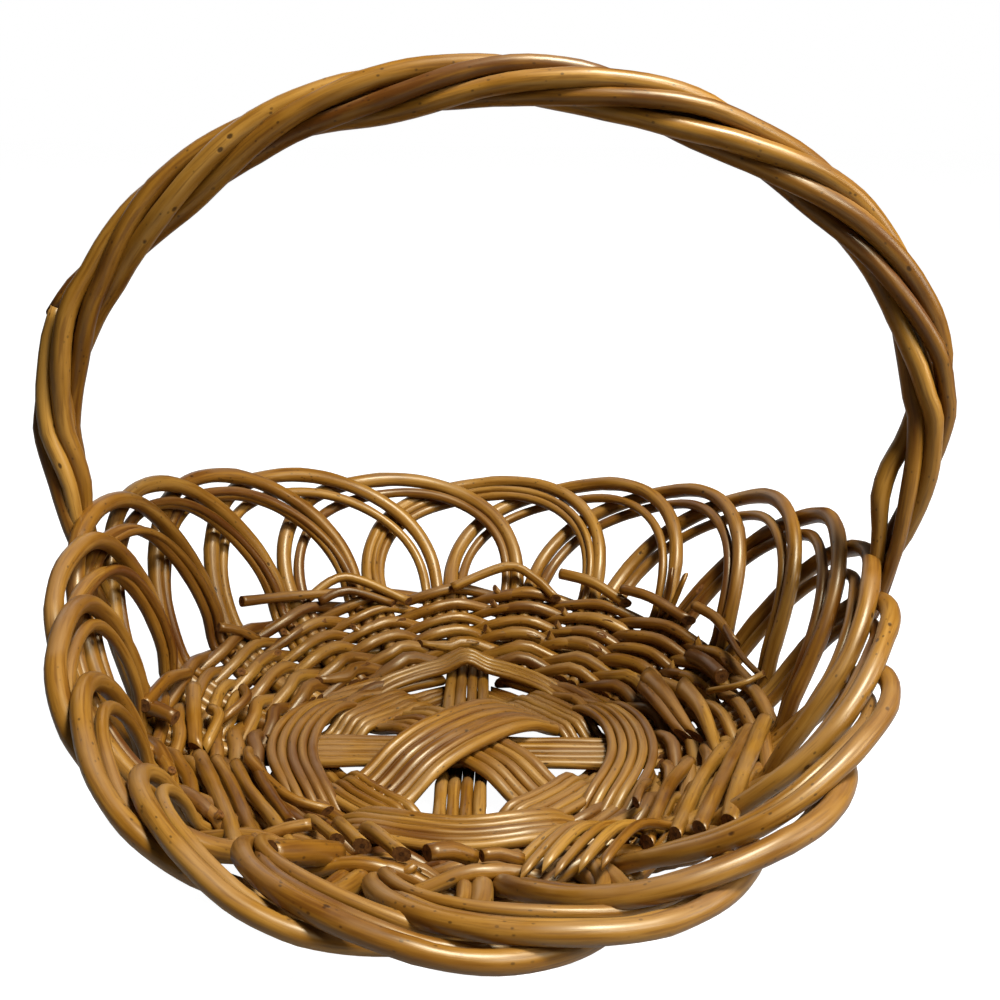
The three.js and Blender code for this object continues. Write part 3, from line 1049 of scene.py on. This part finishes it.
LOOSE_RODS: dict[str, tuple[LooseRod, ...]] = {
    "weaver_row_2_a": (
        LooseRod(((-98, -18, 19), (-92, -38, 24), (-74, -58, 20), (-58, -62, 16)), 5.2, 0.04),
    ),
    "weaver_row_2_b": (
        LooseRod(((84, -34, 14), (79, -52, 22), (75, -70, 27)), 4.6, -0.14, Cut.LONG_SLANT),
    ),
    "weaver_row_3_a": (
        LooseRod(((-101, -32, 20), (-89, -62, 25), (-74, -92, 30), (-62, -120, 36)), 6.2, 0.05),
        LooseRod(((-38, -76, 15), (-32, -97, 27), (-21, -118, 32)), 6.6, 0.14),
        LooseRod(
            ((93, 46, 26), (98, 26, 28), (107, 0, 23)), 11.0, 0, Cut.LONG_SLANT, Cut.SLANTED, 0.4
        ),
    ),
    "weaver_row_3_b": (
        LooseRod(((-94, -25, 18), (-84, -55, 24), (-68, -86, 25)), 5.6, -0.1),
        LooseRod(
            ((89, 42, 24), (93, 24, 26), (102, 4, 21)), 6.0, -0.12, Cut.LONG_SLANT, Cut.SLANTED
        ),
        LooseRod(((104, -24, 19), (91, -54, 25), (80, -92, 32), (74, -118, 38)), 6.2, -0.08),
    ),
    "weaver_row_4_a": (
        LooseRod(((-110, 76, 33), (-118, 69, 41), (-127, 62, 46)), 5.2, -0.06, Cut.SQUARE),
        LooseRod(((-119, 4, 29), (-113, -7, 31), (-116, -23, 25)), 5.8, 0.04),
        LooseRod(((-116, -36, 26), (-104, -66, 32), (-89, -102, 34), (-81, -128, 40)), 7.2, 0.03),
        LooseRod(((-63, -69, 15), (-56, -92, 28), (-46, -112, 34)), 5.4, 0.12),
        LooseRod(
            ((108, 27, 30), (113, 2, 31), (116, -30, 24)),
            10.0,
            0.04,
            Cut.LONG_SLANT,
            Cut.SLANTED,
            0.4,
        ),
    ),
    "weaver_row_4_b": (
        LooseRod(((-110, 34, 25), (-105, 18, 28), (-112, 6, 25)), 5.2, -0.06, Cut.LONG_SLANT),
        LooseRod(((-109, -34, 23), (-96, -64, 28), (-82, -100, 32), (-70, -134, 42)), 6.4, -0.05),
        LooseRod(((-50, -72, 15), (-45, -95, 28), (-36, -116, 34)), 6.4, 0.14),
        LooseRod(((120, -24, 27), (105, -56, 31), (92, -94, 36), (84, -122, 44)), 6.6, 0.04),
    ),
    "weaver_row_5_a": (
        LooseRod(((-129, 12, 36), (-125, -5, 34), (-120, -26, 27)), 7.6, 0.02),
        LooseRod(((8, -128, 36), (-1, -132, 42), (-9, -137, 44)), 7.2, -0.03, Cut.SQUARE),
        LooseRod(((116, 64, 31), (120, 42, 38), (125, 24, 39)), 8.2, -0.16, Cut.SQUARE),
        LooseRod(((131, -20, 34), (116, -56, 37), (102, -94, 41), (93, -122, 47)), 6.6, -0.04),
        LooseRod(((60, -92, 24), (40, -110, 37), (25, -130, 36)), 4.6, 0.14, Cut.LONG_SLANT),
        LooseRod(((70, -97, 27), (50, -115, 42), (36, -136, 42)), 4.8, 0.16, Cut.LONG_SLANT),
    ),
    "weaver_row_5_b": (
        LooseRod(((-143, -20, 40), (-137, -25, 44), (-127, -30, 42)), 7.4, -0.12, Cut.SQUARE),
        LooseRod(((-74, -116, 36), (-65, -114, 39), (-55, -112, 40)), 5.6, -0.06, Cut.SQUARE),
        LooseRod(((26, -132, 38), (17, -134, 42), (11, -137, 43)), 5.0, -0.02, Cut.SQUARE),
        LooseRod(((119, 26, 30), (131, 11, 41), (142, 16, 44)), 3.2, 0.1, Cut.LONG_SLANT),
        LooseRod(((64, -95, 26), (45, -112, 40), (28, -136, 38)), 4.2, 0.05, Cut.LONG_SLANT),
        LooseRod(((75, -100, 29), (57, -116, 43), (40, -141, 42)), 4.0, 0.02, Cut.LONG_SLANT),
    ),
    "weaver_row_6_a": (
        LooseRod(((-119, 84, 51), (-97, 104, 46), (-72, 120, 42)), 5.5),
        LooseRod(((-88, 111, 42), (-69, 123, 50), (-36, 125, 36)), 5.2, 0.06),
        LooseRod(((-10, 134, 40), (21, 142, 50), (37, 136, 45), (47, 128, 38)), 5.4, 0.05),
        LooseRod(((84, 114, 48), (98, 103, 48), (115, 86, 43)), 6.2, -0.12),
        LooseRod(((110, 94, 38), (116, 92, 48), (121, 90, 56)), 2.8, -0.06, Cut.LONG_SLANT),
        LooseRod(((-141, -28, 47), (-138, 0, 46), (-134, 22, 39)), 6.2, -0.04),
        LooseRod(((-44, -126, 36), (-54, -139, 45), (-64, -150, 52)), 10.0, -0.04, Cut.SQUARE),
        LooseRod(((137, -22, 40), (124, -56, 41), (112, -92, 45), (104, -122, 50)), 7.0, 0.05),
        LooseRod(((82, -104, 33), (63, -121, 46), (49, -142, 46)), 4.8, 0.12, Cut.LONG_SLANT),
    ),
    "weaver_row_6_b": (
        LooseRod(((-82, 111, 40), (-67, 118, 44), (-44, 123, 35)), 4.6, -0.16),
        LooseRod(((51, 134, 49), (68, 124, 48), (84, 114, 41)), 6.2, 0.02),
        LooseRod(((119, 82, 52), (128, 68, 51), (134, 52, 46)), 5.8, -0.02),
        LooseRod(((104, 99, 38), (107, 99, 50), (108, 98, 61)), 3.6, -0.06, Cut.LONG_SLANT),
        LooseRod(((107, 96, 38), (111, 96, 50), (114, 95, 60)), 3.4, 0.05, Cut.LONG_SLANT),
        LooseRod(((131, 62, 50), (135, 36, 46), (141, 21, 43)), 3.4, -0.12, Cut.LONG_SLANT),
        LooseRod(((88, -106, 36), (70, -123, 48), (56, -146, 49)), 4.2, -0.04, Cut.LONG_SLANT),
    ),
}


@dataclass
class TwinedWall:
    """Rows of two weavers each, twined round the stakes, and the strokes that close the foot.

    A mark is a place on a stroke: its share of the way past a stake group, and how far out and up
    it lies as shares of the depth and of the swap.
    """

    form: BasketForm
    bench: RodBench
    border: LoopBorder
    rows: int = 6
    thickness: float = 0.0066
    low_extra: float = 0.0009
    depth: float = 0.0058
    swap: float = 0.0019
    arch: float = 0.0012
    sag: float = 0.0004
    marks: tuple[tuple[float, float, float], ...] = (
        (0.06, 0.8, 0.9),
        (0.5, 1.0, 0.15),
        (0.94, 0.8, -0.9),
    )
    runs: tuple[int, ...] = (8, 10, 20)
    end_reach: float = 0.004
    end_depth: float = 0.0010
    end_rise: float = 0.0008
    end_share: float = 0.5
    end_length: float = 0.016
    step: float = 0.0042
    sides: int = 10
    loose_step: float = 0.004
    loose_sides: int = 14
    foot_radii: tuple[float, ...] = (0.0776, 0.0830, 0.0882, 0.0934)
    foot_height: float = 0.0089
    foot_spread: float = math.radians(31)
    foot_bend: float = 0.0012
    foot_wave: float = 7.0
    foot_shift: float = 2.4
    foot_sway: float = 0.8
    foot_sag: float = 0.0008
    foot_places: int = 7
    round_spread: RodSpread = RodSpread((0.98, 1.08), (0.8, 0.92), (-0.12, 0.07))
    stroke_spread: RodSpread = RodSpread((0.92, 1.05), (0.75, 0.95), (-0.14, 0.03))
    reach_spread: tuple[float, float] = (0.86, 1.05)
    seed: int = 31

    def stroke(self, row: int, partner: int, group: int, rng: random.Random) -> list[Vector]:
        """Lays one stroke of a weaver past one stake group.

        Args:
            row: Row, counted from the foot.
            partner: Which of the two weavers of the row.
            group: The stake group that it passes, which may count past a full round.
            rng: Source of small irregularities.

        Returns:
            Places along the stroke.
        """
        form = self.form
        share = (row + 0.5) / self.rows
        radius = form.wall_radius(share)
        full = self.border.leg_offset(True) + self.border.cad_inner / 2
        left = form.rod_gap / 2 if share < 0.5 - 1 / self.rows else -full
        side = self.side(partner, group)
        middle = form.group_angle(group)
        lift = side * self.swap
        sag = rng.uniform(-self.sag, self.sag)
        places: list[Vector] = []
        for part, out, up in self.marks:
            angle = middle - (left + (full - left) * part) / radius
            bow = self.arch * math.sin(math.pi * part)
            places.append(form.wall(share, angle, side * self.depth * out, lift * up + bow + sag))
        return places

    def side(self, partner: int, group: int) -> int:
        """Tells whether a weaver passes outside (1) or inside (-1) a stake group."""
        return 1 if (group + partner) % 2 == 0 else -1

    def loose_end(self, row: int, group: int, ahead: float) -> Vector:
        """Finds where a rod's end stands free inside the basket.

        Args:
            row: Row of the rod.
            group: The stake group beside which it ends.
            ahead: Distance from the middle of the group, clockwise.

        Returns:
            The place of the end.
        """
        share = (row + 0.5) / self.rows
        angle = self.form.group_angle(group) - ahead / self.form.wall_radius(share)
        return self.form.wall(share, angle, -self.depth - self.end_depth, self.end_rise)

    def round_rods(self, row: int, partner: int, rng: random.Random) -> list[Rod]:
        """Lays the rods that together make one full round of a weaver.

        Args:
            row: Row, counted from the foot.
            partner: Which of the two weavers of the row.
            rng: Source of where the rods begin and end.

        Returns:
            The rods of the round.
        """
        first = rng.randrange(self.form.loops // 2) * 2 + 1 - partner
        last = first + self.form.loops
        rods: list[Rod] = []
        full = self.border.leg_offset(True) + self.end_reach
        full_thickness = self.thickness + (self.low_extra if row < self.rows // 2 else 0)
        while first < last:
            until = min(last, first + rng.choice(self.runs))
            places = [self.loose_end(row, first, -full)]
            for group in range(first, until + 1):
                places += self.stroke(row, partner, group, rng)
            places[-1] = self.loose_end(row, until, self.border.leg_offset(True))
            rods.append(
                replace(
                    self.round_spread.rod(places, full_thickness, full_thickness, rng),
                    start=Cut.SLANTED,
                    end=Cut.LONG_SLANT,
                    step=self.step,
                    sides=self.sides,
                    thin_share=self.end_share,
                    thin_length=self.end_length,
                )
            )
            first = until
        return rods

    def foot_rods(self, partner: int, rng: random.Random) -> list[Rod]:
        """Lays the short strokes that close the corners between the base and the lowest row.

        Args:
            partner: Which weaver of the lowest row they belong to.
            rng: Source of small irregularities.

        Returns:
            The strokes of two opposite corners.
        """
        rods: list[Rod] = []
        for corner in (partner, partner + 2):
            middle = math.radians(45 + 90 * corner)
            for number, radius in enumerate(self.foot_radii):
                spread = self.foot_spread * rng.uniform(*self.reach_spread)
                places: list[Vector] = []
                for i in range(self.foot_places):
                    share = 2 * i / (self.foot_places - 1) - 1
                    wave = math.cos(share * self.foot_wave + number * self.foot_shift)
                    bend = self.foot_bend * wave
                    height = self.foot_height + bend - self.foot_sag * number * (1 - share * share)
                    angle = middle + spread * share
                    out = radius + self.foot_sway * bend
                    places.append(self.form.point(out, angle, height))
                rods.append(
                    replace(
                        self.stroke_spread.rod(places, self.thickness, self.thickness, rng),
                        start=Cut.SLANTED,
                        end=Cut.SLANTED,
                        step=self.step,
                        sides=self.sides,
                    )
                )
        return rods

    def loose_rods(self, node: str) -> list[Rod]:
        """Lays the short ends of one weaver that stand out of the weave.

        Args:
            node: The weaver.

        Returns:
            Its loose rods.
        """
        rods: list[Rod] = []
        for loose in LOOSE_RODS.get(node, ()):
            path = [self.form.centre + Vector(place) / 1000 for place in loose.places]
            butt = loose.thickness / 1000
            rods.append(
                Rod(
                    path,
                    butt,
                    butt * loose.taper,
                    tone=loose.tone,
                    start=loose.start,
                    end=loose.end,
                    step=self.loose_step,
                    sides=self.loose_sides,
                )
            )
        return rods

    def build(self) -> None:
        """Builds every weaver in place of its solid."""
        for row in range(self.rows):
            for partner, letter in enumerate("ab"):
                rng = random.Random(self.seed * 100 + row * 2 + partner)
                rods = self.round_rods(row, partner, rng)
                if row == 0:
                    rods += self.foot_rods(partner, rng)
                node = f"weaver_row_{row + 1}_{letter}"
                rods += self.loose_rods(node)
                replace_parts(self.bench.piece(f"{node}_rods", rods, WEAVER_FINISH), node)


# Base


@dataclass
class BaseRibbon:
    """A band of rods laid side by side across the base."""

    node: str
    turn: float
    distance: float
    half_length: float
    bow: float
    levels: tuple[float, ...]
    rods: int
    thickness: float

    def width(self) -> float:
        """Distance between the middles of the outermost rods."""
        return (self.rods - 1) * self.thickness


@dataclass
class WovenBase:
    """The base: ribbons that cross in the middle, and curved ribbons round them."""

    form: BasketForm
    bench: RodBench
    layer: float = 0.0063
    low: float = 0.0035
    radius: float = 0.093
    through_inset: float = 0.012
    edge_inset: float = 0.013
    edge_half_length: float = 0.052
    back_shift: float = 0.002
    corner_distance: float = 0.0603
    corner_half_length: float = 0.044
    corner_bow: float = 0.005
    gather: float = 0.06
    step: float = 0.004
    ribbon_spread: RodSpread = RodSpread((0.96, 1.04), (0.88, 1.0), (-0.07, 0.09))
    length_spread: tuple[float, float] = (-0.003, 0.004)
    height_spread: tuple[float, float] = (-0.0002, 0.0003)
    seed: int = 12

    def ribbons(self) -> list[BaseRibbon]:
        """Lists the ribbons of the base.

        Returns:
            The ribbons, with their levels from the middle outwards.
        """
        through = math.sqrt(self.radius**2 - self.through_inset**2)
        edge = self.radius - self.edge_inset
        half = self.edge_half_length
        edge_bow = edge - math.sqrt(edge**2 - half**2)
        crossing = (
            ("front_back", 90, (0, 0, 1, 1, 1, 1, 1), 4, 0.0059),
            ("left_right", 0, (1, 1, 1, 1, 1, 1, 1), 5, 0.0052),
            ("diagonal_low", -45, (2, 2, 1.8, 0.8, 0.2, 0, 0), 5, 0.0059),
            ("diagonal_high", 45, (3, 2.9, 2.3, 1.0, 0.25, 0, 0), 6, 0.0061),
        )
        found = [
            BaseRibbon(f"base_ribbon_{name}", turn, 0, through, 0, levels, rods, thickness)
            for name, turn, levels, rods, thickness in crossing
        ]
        # the edge ribbon at the back lies highest and has fewer and thinner rods
        back = (edge + self.back_shift, half, edge_bow, (2.9, 2.1, 1.8, 1.5, 1.1, 0.3), 4, 0.0039)
        other = (edge, half, edge_bow, (2, 2, 2, 1.9, 1.5, 0.3), 5, 0.0048)
        corner_lay = (self.corner_distance, self.corner_half_length, self.corner_bow)
        corner = (*corner_lay, (1, 1, 1, 0, 0, 0), 5, 0.0049)
        for quarter in range(4):
            turn = quarter * 90
            edge_lay = other if quarter else back
            found.append(BaseRibbon(f"base_edge_ribbon_{quarter + 1}", turn, *edge_lay))
            found.append(BaseRibbon(f"base_corner_ribbon_{quarter + 1}", turn + 45, *corner))
        return found

    def rod_path(self, ribbon: BaseRibbon, index: int, rng: random.Random) -> list[Vector]:
        """Lays one rod of a ribbon.

        Args:
            ribbon: The ribbon.
            index: Which rod, counted across it.
            rng: Source of small irregularities.

        Returns:
            Places along the rod.
        """
        turn = math.radians(ribbon.turn)
        side = index * ribbon.thickness - ribbon.width() / 2
        count = len(ribbon.levels) - 1
        places: list[Vector] = []
        extra = rng.uniform(*self.length_spread)
        for i in range(-count, count + 1):
            share = i / count
            along = share * (ribbon.half_length + extra)
            out = ribbon.distance - ribbon.bow * share * share
            out += side * (1 - self.gather * share * share)
            height = self.low + ribbon.levels[abs(i)] * self.layer
            height += rng.uniform(*self.height_spread)
            x = math.cos(turn) * along - math.sin(turn) * out
            y = math.sin(turn) * along + math.cos(turn) * out
            places.append(self.form.centre + Vector((x, y, height)))
        return places

    def build(self) -> None:
        """Builds every ribbon in place of its solid."""
        for number, ribbon in enumerate(self.ribbons()):
            rng = random.Random(self.seed * 100 + number)
            rods: list[Rod] = []
            for index in range(ribbon.rods):
                path = self.rod_path(ribbon, index, rng)
                rod = self.ribbon_spread.rod(path, ribbon.thickness, ribbon.thickness, rng)
                rods.append(replace(rod, start=Cut.SLANTED, end=Cut.SLANTED, step=self.step))
            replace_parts(self.bench.piece(f"{ribbon.node}_rods", rods, BASE_FINISH), ribbon.node)


# Handle


@dataclass(frozen=True)
class BowMark:
    """How the real bundle lies at one place along the bow."""

    length: float
    drift: float
    looseness: float


BOW_MARKS = (
    BowMark(0.100, -0.0030, 1.0),
    BowMark(0.143, 0.0010, 1.05),
    BowMark(0.168, 0.0055, 0.95),
    BowMark(0.192, 0.0033, 1.0),
    BowMark(0.216, 0.0018, 1.05),
    BowMark(0.245, -0.0016, 0.9),
    BowMark(0.290, -0.0022, 1.1),
    BowMark(0.345, -0.0006, 0.9),
    BowMark(0.392, -0.0014, 1.12),
    BowMark(0.440, 0.0008, 0.97),
    BowMark(0.480, 0.0006, 0.97),
    BowMark(0.512, 0.0007, 1.1),
    BowMark(0.538, 0.0006, 0.95),
    BowMark(0.566, 0.0011, 1.1),
    BowMark(0.606, 0.0014, 0.92),
    BowMark(0.655, 0.0008, 1.14),
    BowMark(0.690, -0.0014, 1.0),
    BowMark(0.735, -0.0040, 1.0),
)


@dataclass
class BowHandle:
    """The bow: a rod core with thick rods twisted round it, spread flat and thin at both feet."""

    form: BasketForm
    bench: RodBench
    apex: float = 0.313
    half_width: float = 0.186
    widest: float = 0.170
    shift_right: float = 0.0125
    shift_front: float = 0.005
    turn: float = math.radians(-3)
    left_foot: float = math.pi
    right_foot: float = math.radians(-5)
    step: float = 0.006
    pitch: float = 0.237
    first_twist: float = math.radians(40)
    sway: float = 0.1
    sway_pitch: float = 31.0
    sway_shift: float = 1.9
    orbit: float = 0.0069
    core: float = 0.0056
    core_tone: float = -0.1
    strands: tuple[float, ...] = (0.0088, 0.0080, 0.0092, 0.0086, 0.0082)
    strand_tip: float = 0.94
    foot_share: float = 0.6
    broken_tones: tuple[float, float] = (0.14, -0.14)
    short_tone: float = -0.05
    loose_turns: int = 3
    strand_sides: int = 18
    strand_nodes: float = 0.07
    tones: tuple[float, ...] = (0.02, -0.06, 0.05, -0.02, 0.04)
    foot_girth: float = 0.72
    foot_length: float = 0.055
    foot_tail: float = 0.034
    tail_girth: float = 0.8
    squeeze_length: float = 0.036
    foot_squeeze: float = 0.54
    foot_spread: float = 1.4
    leave_share: float = 0.85
    beside_wall: float = 0.0104
    beside_border: float = 0.0102
    beside_leaving: float = 0.0112
    arch_steps: int = 22
    broken_strand: int = 4
    broken_at: float = 0.222
    broken_overlap: float = 0.010
    broken_girth: float = 0.9
    broken_length: float = 0.02
    broken_reach: float = 0.0010
    short_strand: int = 3
    short_until: float = 0.674
    loose_strand: int = 2
    loose_from: float = 0.684
    loose_until: float = 0.742
    loose_reach: float = 0.0042

    def plane_point(self, across: float, height: float) -> Vector:
        """Places a point in the upright plane of the bow.

        Args:
            across: Distance from the middle of the basket, to the right.
            height: Height above the ground.

        Returns:
            The point.
        """
        x = math.cos(self.turn) * across
        y = math.sin(self.turn) * across - self.shift_front
        return self.form.centre + Vector((x, y, height))

    def foot(self, angle: float) -> list[Vector]:
        """Lays one foot of the bow up the outside of the wall and the border.

        Args:
            angle: Angle of the foot round the basket.

        Returns:
            Places from the lowest one upwards.
        """
        form = self.form
        return [
            form.wall(self.foot_share, angle, self.beside_wall),
            form.wall(1.0, angle, self.beside_wall),
            form.border(self.leave_share / 2, angle, self.beside_border),
            form.border(self.leave_share, angle, self.beside_leaving),
        ]

    def centreline(self) -> list[Vector]:
        """Lays the middle of the bow from foot to foot.

        Returns:
            Places along the bow.
        """
        arch: list[Vector] = []
        for i in range(self.arch_steps + 1):
            turn = math.pi * (1 - i / self.arch_steps)
            across = self.shift_right + self.half_width * math.cos(turn)
            height = self.widest + (self.apex - self.widest) * math.sin(turn)
            arch.append(self.plane_point(across, height))
        return [*self.foot(self.left_foot), *arch, *reversed(self.foot(self.right_foot))]

    def mark(self, length: float) -> BowMark:
        """Reads how the bundle lies at a length along the bow.

        Args:
            length: Length from the left end of the bow.

        Returns:
            The drift and looseness between the two nearest marks.
        """
        for low, high in zip(BOW_MARKS, BOW_MARKS[1:]):
            if length < high.length:
                share = ease((length - low.length) / (high.length - low.length))
                drift = low.drift + (high.drift - low.drift) * share
                looseness = low.looseness + (high.looseness - low.looseness) * share
                return BowMark(length, drift, looseness)
        return BOW_MARKS[-1]

    def build(self) -> None:
        """Builds the core and the strands in place of their solids."""
        centre = self.centreline()
        line = self.bench.smooth_path(Rod(centre, 1, 1, step=self.step))
        # the ends of the bow stay hidden behind the top of the wall
        core = Rod(centre[1:-1], self.core, self.core, self.core_tone, step=self.step)
        core.thin_share = self.foot_girth
        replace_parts(self.bench.piece("handle_bow_rod", [core], HANDLE_PAINTED_LIGHT_FINISH), "handle_bow")
        lengths = lengths_along(line)
        low_left = self.foot(self.left_foot)[-1].z
        low_right = self.foot(self.right_foot)[-1].z
        middle = len(line) // 2
        first = lengths[next(i for i in range(middle) if line[i].z > low_left)]
        last = lengths[next(i for i in range(len(line) - 1, middle, -1) if line[i].z > low_right)]
        for index in range(len(self.strands)):
            places = self.strand_places(line, lengths, first, last, index)
            rods = self.strand_rods(places, index)
            node = f"handle_strand_{index + 1}"
            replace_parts(self.bench.piece(f"{node}_rod", rods, HANDLE_PAINTED_LIGHT_FINISH), node)

    def strand_rods(self, places: list[tuple[float, Vector]], index: int) -> list[Rod]:
        """Cuts one strand into the rods that it is made of.

        Args:
            places: Length along the bow and place, for each step along the strand.
            index: Which strand.

        Returns:
            One rod, or two where the strand is broken.
        """
        thickness = self.strands[index]
        whole = Rod(
            [place for _, place in places],
            thickness,
            thickness * self.strand_tip,
            tone=self.tones[index],
            step=self.step,
            sides=self.strand_sides,
            nodes=self.strand_nodes,
            thin_share=self.foot_girth * self.tail_girth,
            thin_length=self.foot_length + self.foot_tail,
        )
        if index == self.broken_strand:
            above_from = self.broken_at - self.broken_overlap
            below = [place for length, place in places if length < self.broken_at]
            above = [place for length, place in places if length > above_from]
            below_tone, above_tone = self.broken_tones
            thin = thickness * self.broken_girth
            upper = replace(whole, path=above, butt=thin, tip=thin * self.strand_tip)
            return [
                replace(whole, path=below, tone=below_tone, thin_end=False),
                replace(upper, tone=above_tone, start=Cut.SLANTED, thin_start=False),
            ]
        if index == self.short_strand:
            kept = [place for length, place in places if length < self.short_until]
            short = replace(whole, path=kept, tone=self.short_tone)
            return [replace(short, end=Cut.SLANTED, thin_end=False)]
        return [whole]

    def strand_places(
        self, line: list[Vector], lengths: list[float], first: float, last: float, index: int
    ) -> list[tuple[float, Vector]]:
        """Twists one strand round the bow.

        Args:
            line: Points along the middle of the bow.
            lengths: Length along the bow at each point.
            first: Length at which the bow leaves the left border.
            last: Length at which it meets the right border.
            index: Which strand.

        Returns:
            Length along the bow and place, for each step along the strand.
        """
        front = Vector((math.sin(self.turn), -math.cos(self.turn), 0))
        places: list[tuple[float, Vector]] = []
        for i in range(2, len(line) - 2, 2):
            length = lengths[i]
            if not first - self.foot_tail < length < last + self.foot_tail:
                continue
            along = (line[i + 1] - line[i - 1]).normalized()
            outward = front.cross(along).normalized()
            spare = min(length - first, last - length)
            mark = self.mark(length)
            girth = self.foot_girth + (1 - self.foot_girth) * ease(spare / self.foot_length)
            reach = self.orbit * girth * mark.looseness
            open_share = ease(spare / self.squeeze_length)
            phase = self.first_twist + (index / len(self.strands) - length / self.pitch) * TURN
            phase += self.sway * math.sin(length * self.sway_pitch + index * self.sway_shift)
            if index == self.broken_strand:
                reach += self.broken_reach * bell(length - self.broken_at, self.broken_length)
            if index == self.loose_strand and length > self.loose_from:
                # from here on it stays on the inner side of the bow, and stands off
                phase = max(phase + self.loose_turns * TURN, math.pi)
                slack = ease((length - self.loose_from) / (self.loose_until - self.loose_from))
                reach += self.loose_reach * max(0.0, math.sin(math.pi * slack))
            squeeze = self.foot_squeeze + (1 - self.foot_squeeze) * open_share
            spread = self.foot_spread + (1 - self.foot_spread) * open_share
            out = math.cos(phase) * reach * squeeze
            ahead = math.sin(phase) * reach * spread
            places.append((length, line[i] + outward * (out + mark.drift) + front * ahead))
        return places


# Studio


@dataclass(frozen=True)
class Lamp:
    """A soft square lamp that points at the basket: its place, its side and its power in watts."""

    name: str
    place: tuple[float, float, float]
    side: float
    power: float


LAMPS = (
    Lamp("key_lamp", (0.42, -0.3, 1.3), 0.34, 31.0),
    Lamp("front_lamp", (0.9, -0.95, 1.2), 0.5, 13.0),
    Lamp("side_lamp", (1.2, -0.3, 0.6), 0.45, 5.0),
    Lamp("back_lamp", (-0.7, 1.4, 0.7), 1.1, 3.0),
)


@dataclass
class Studio:
    """Pale floor, soft lamps and the camera."""

    form: BasketForm
    camera_place: Vector = field(default_factory=lambda: Vector((0.0165, -0.5500, 0.3141)))
    pitch: float = math.radians(17.97)
    roll: float = math.radians(0.54)
    focal_share: float = 1.3006
    sensor: float = 36.0
    clip_start: float = 0.01
    floor_half: float = 6.0
    floor_shade: Colour = (0.26, 0.26, 0.26, 1)
    floor_roughness: float = 0.9
    floor_glow: float = 0.98
    world_light: float = 0.05
    world_gloss: float = 0.03
    lamp_aim: float = 0.08

    def build(self) -> None:
        """Sets up the camera, the floor, the world and the lamps."""
        self.add_camera()
        self.add_floor()
        self.add_world()
        for lamp in LAMPS:
            self.add_lamp(lamp)
        bpy.context.scene.view_settings.view_transform = "Standard"

    def add_camera(self) -> None:
        """Adds the camera at the photograph's viewing angle."""
        data = bpy.data.cameras.new("camera")
        data.sensor_width = self.sensor
        data.lens = self.focal_share * self.sensor
        data.clip_start = self.clip_start
        camera = add_object("camera", data)
        forward = Vector((0, math.cos(self.pitch), -math.sin(self.pitch)))
        level = Vector((1, 0, 0))
        upright = level.cross(forward)
        right = level * math.cos(self.roll) + upright * math.sin(self.roll)
        up = right.cross(forward)
        matrix = Matrix((right, up, -forward)).transposed().to_4x4()
        matrix.translation = self.form.centre + self.camera_place
        camera.matrix_world = matrix
        bpy.context.scene.camera = camera

    def add_floor(self) -> None:
        """Adds the pale floor, which glows up to white for the camera alone."""
        mesh = bmesh.new()
        bmesh.ops.create_grid(mesh, x_segments=1, y_segments=1, size=self.floor_half)
        data = bpy.data.meshes.new("floor")
        mesh.to_mesh(data)
        mesh.free()
        material = bpy.data.materials.new("floor_white")
        material.use_nodes = True
        data.materials.append(material)
        nodes = material.node_tree.nodes
        kit = NodeKit(material.node_tree)
        surface = nodes["Principled BSDF"]
        kit.put(surface, {"Base Color": self.floor_shade, "Roughness": self.floor_roughness})
        seen = kit.node("LightPath").outputs["Is Camera Ray"]
        glow = kit.node("Emission", {"Strength": kit.times(seen, self.floor_glow)})
        both = kit.node("AddShader", {0: surface.outputs["BSDF"], 1: glow.outputs["Emission"]})
        kit.put(nodes["Material Output"], {"Surface": both.outputs["Shader"]})
        floor = add_object("floor", data)

    def add_world(self) -> None:
        """Adds an even pale surround, white to the camera and dim to what is glossy."""
        world = bpy.data.worlds.new("studio")
        world.use_nodes = True
        bpy.context.scene.world = world
        nodes = world.node_tree.nodes
        kit = NodeKit(world.node_tree)
        even = nodes["Background"]
        kit.put(even, {"Color": WHITE, "Strength": self.world_light})
        white = kit.node("Background", {"Color": WHITE, "Strength": 1.0})
        dim = kit.node("Background", {"Strength": self.world_gloss})
        ray = kit.node("LightPath").outputs
        surround = even
        for kind, light in (("Is Glossy Ray", dim), ("Is Camera Ray", white)):
            inputs = {0: ray[kind], 1: surround.outputs[0], 2: light.outputs[0]}
            surround = kit.node("MixShader", inputs)
        kit.put(nodes["World Output"], {"Surface": surround.outputs[0]})

    def add_lamp(self, lamp: Lamp) -> None:
        """Hangs a lamp.

        Args:
            lamp: The lamp.
        """
        data = bpy.data.lights.new(lamp.name, "AREA")
        data.size = lamp.side
        data.energy = lamp.power
        item = add_object(lamp.name, data)
        item.location = lamp.place
        aim = Vector((0, 0, self.lamp_aim)) - item.location
        item.rotation_euler = aim.to_track_quat("-Z", "Y").to_euler()


def base_centre() -> Vector:
    """Finds the middle of the base from the ribbon that runs front to back.

    Returns:
        The middle, on the ground.
    """
    low, high = (Vector(corner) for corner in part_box("base_ribbon_front_back"))
    middle = (low + high) / 2
    return Vector((middle.x, middle.y, 0))


def main() -> None:
    """Builds the basket sub-assembly by sub-assembly."""
    logging.basicConfig(level=logging.INFO, format="%(name)s: %(message)s")
    form = BasketForm(base_centre())
    bench = RodBench()
    Studio(form).build()
    WovenBase(form, bench).build()
    border = LoopBorder(form, bench)
    border.build()
    TwinedWall(form, bench, border).build()
    BowHandle(form, bench).build()


if __name__ == "__main__":
    main()
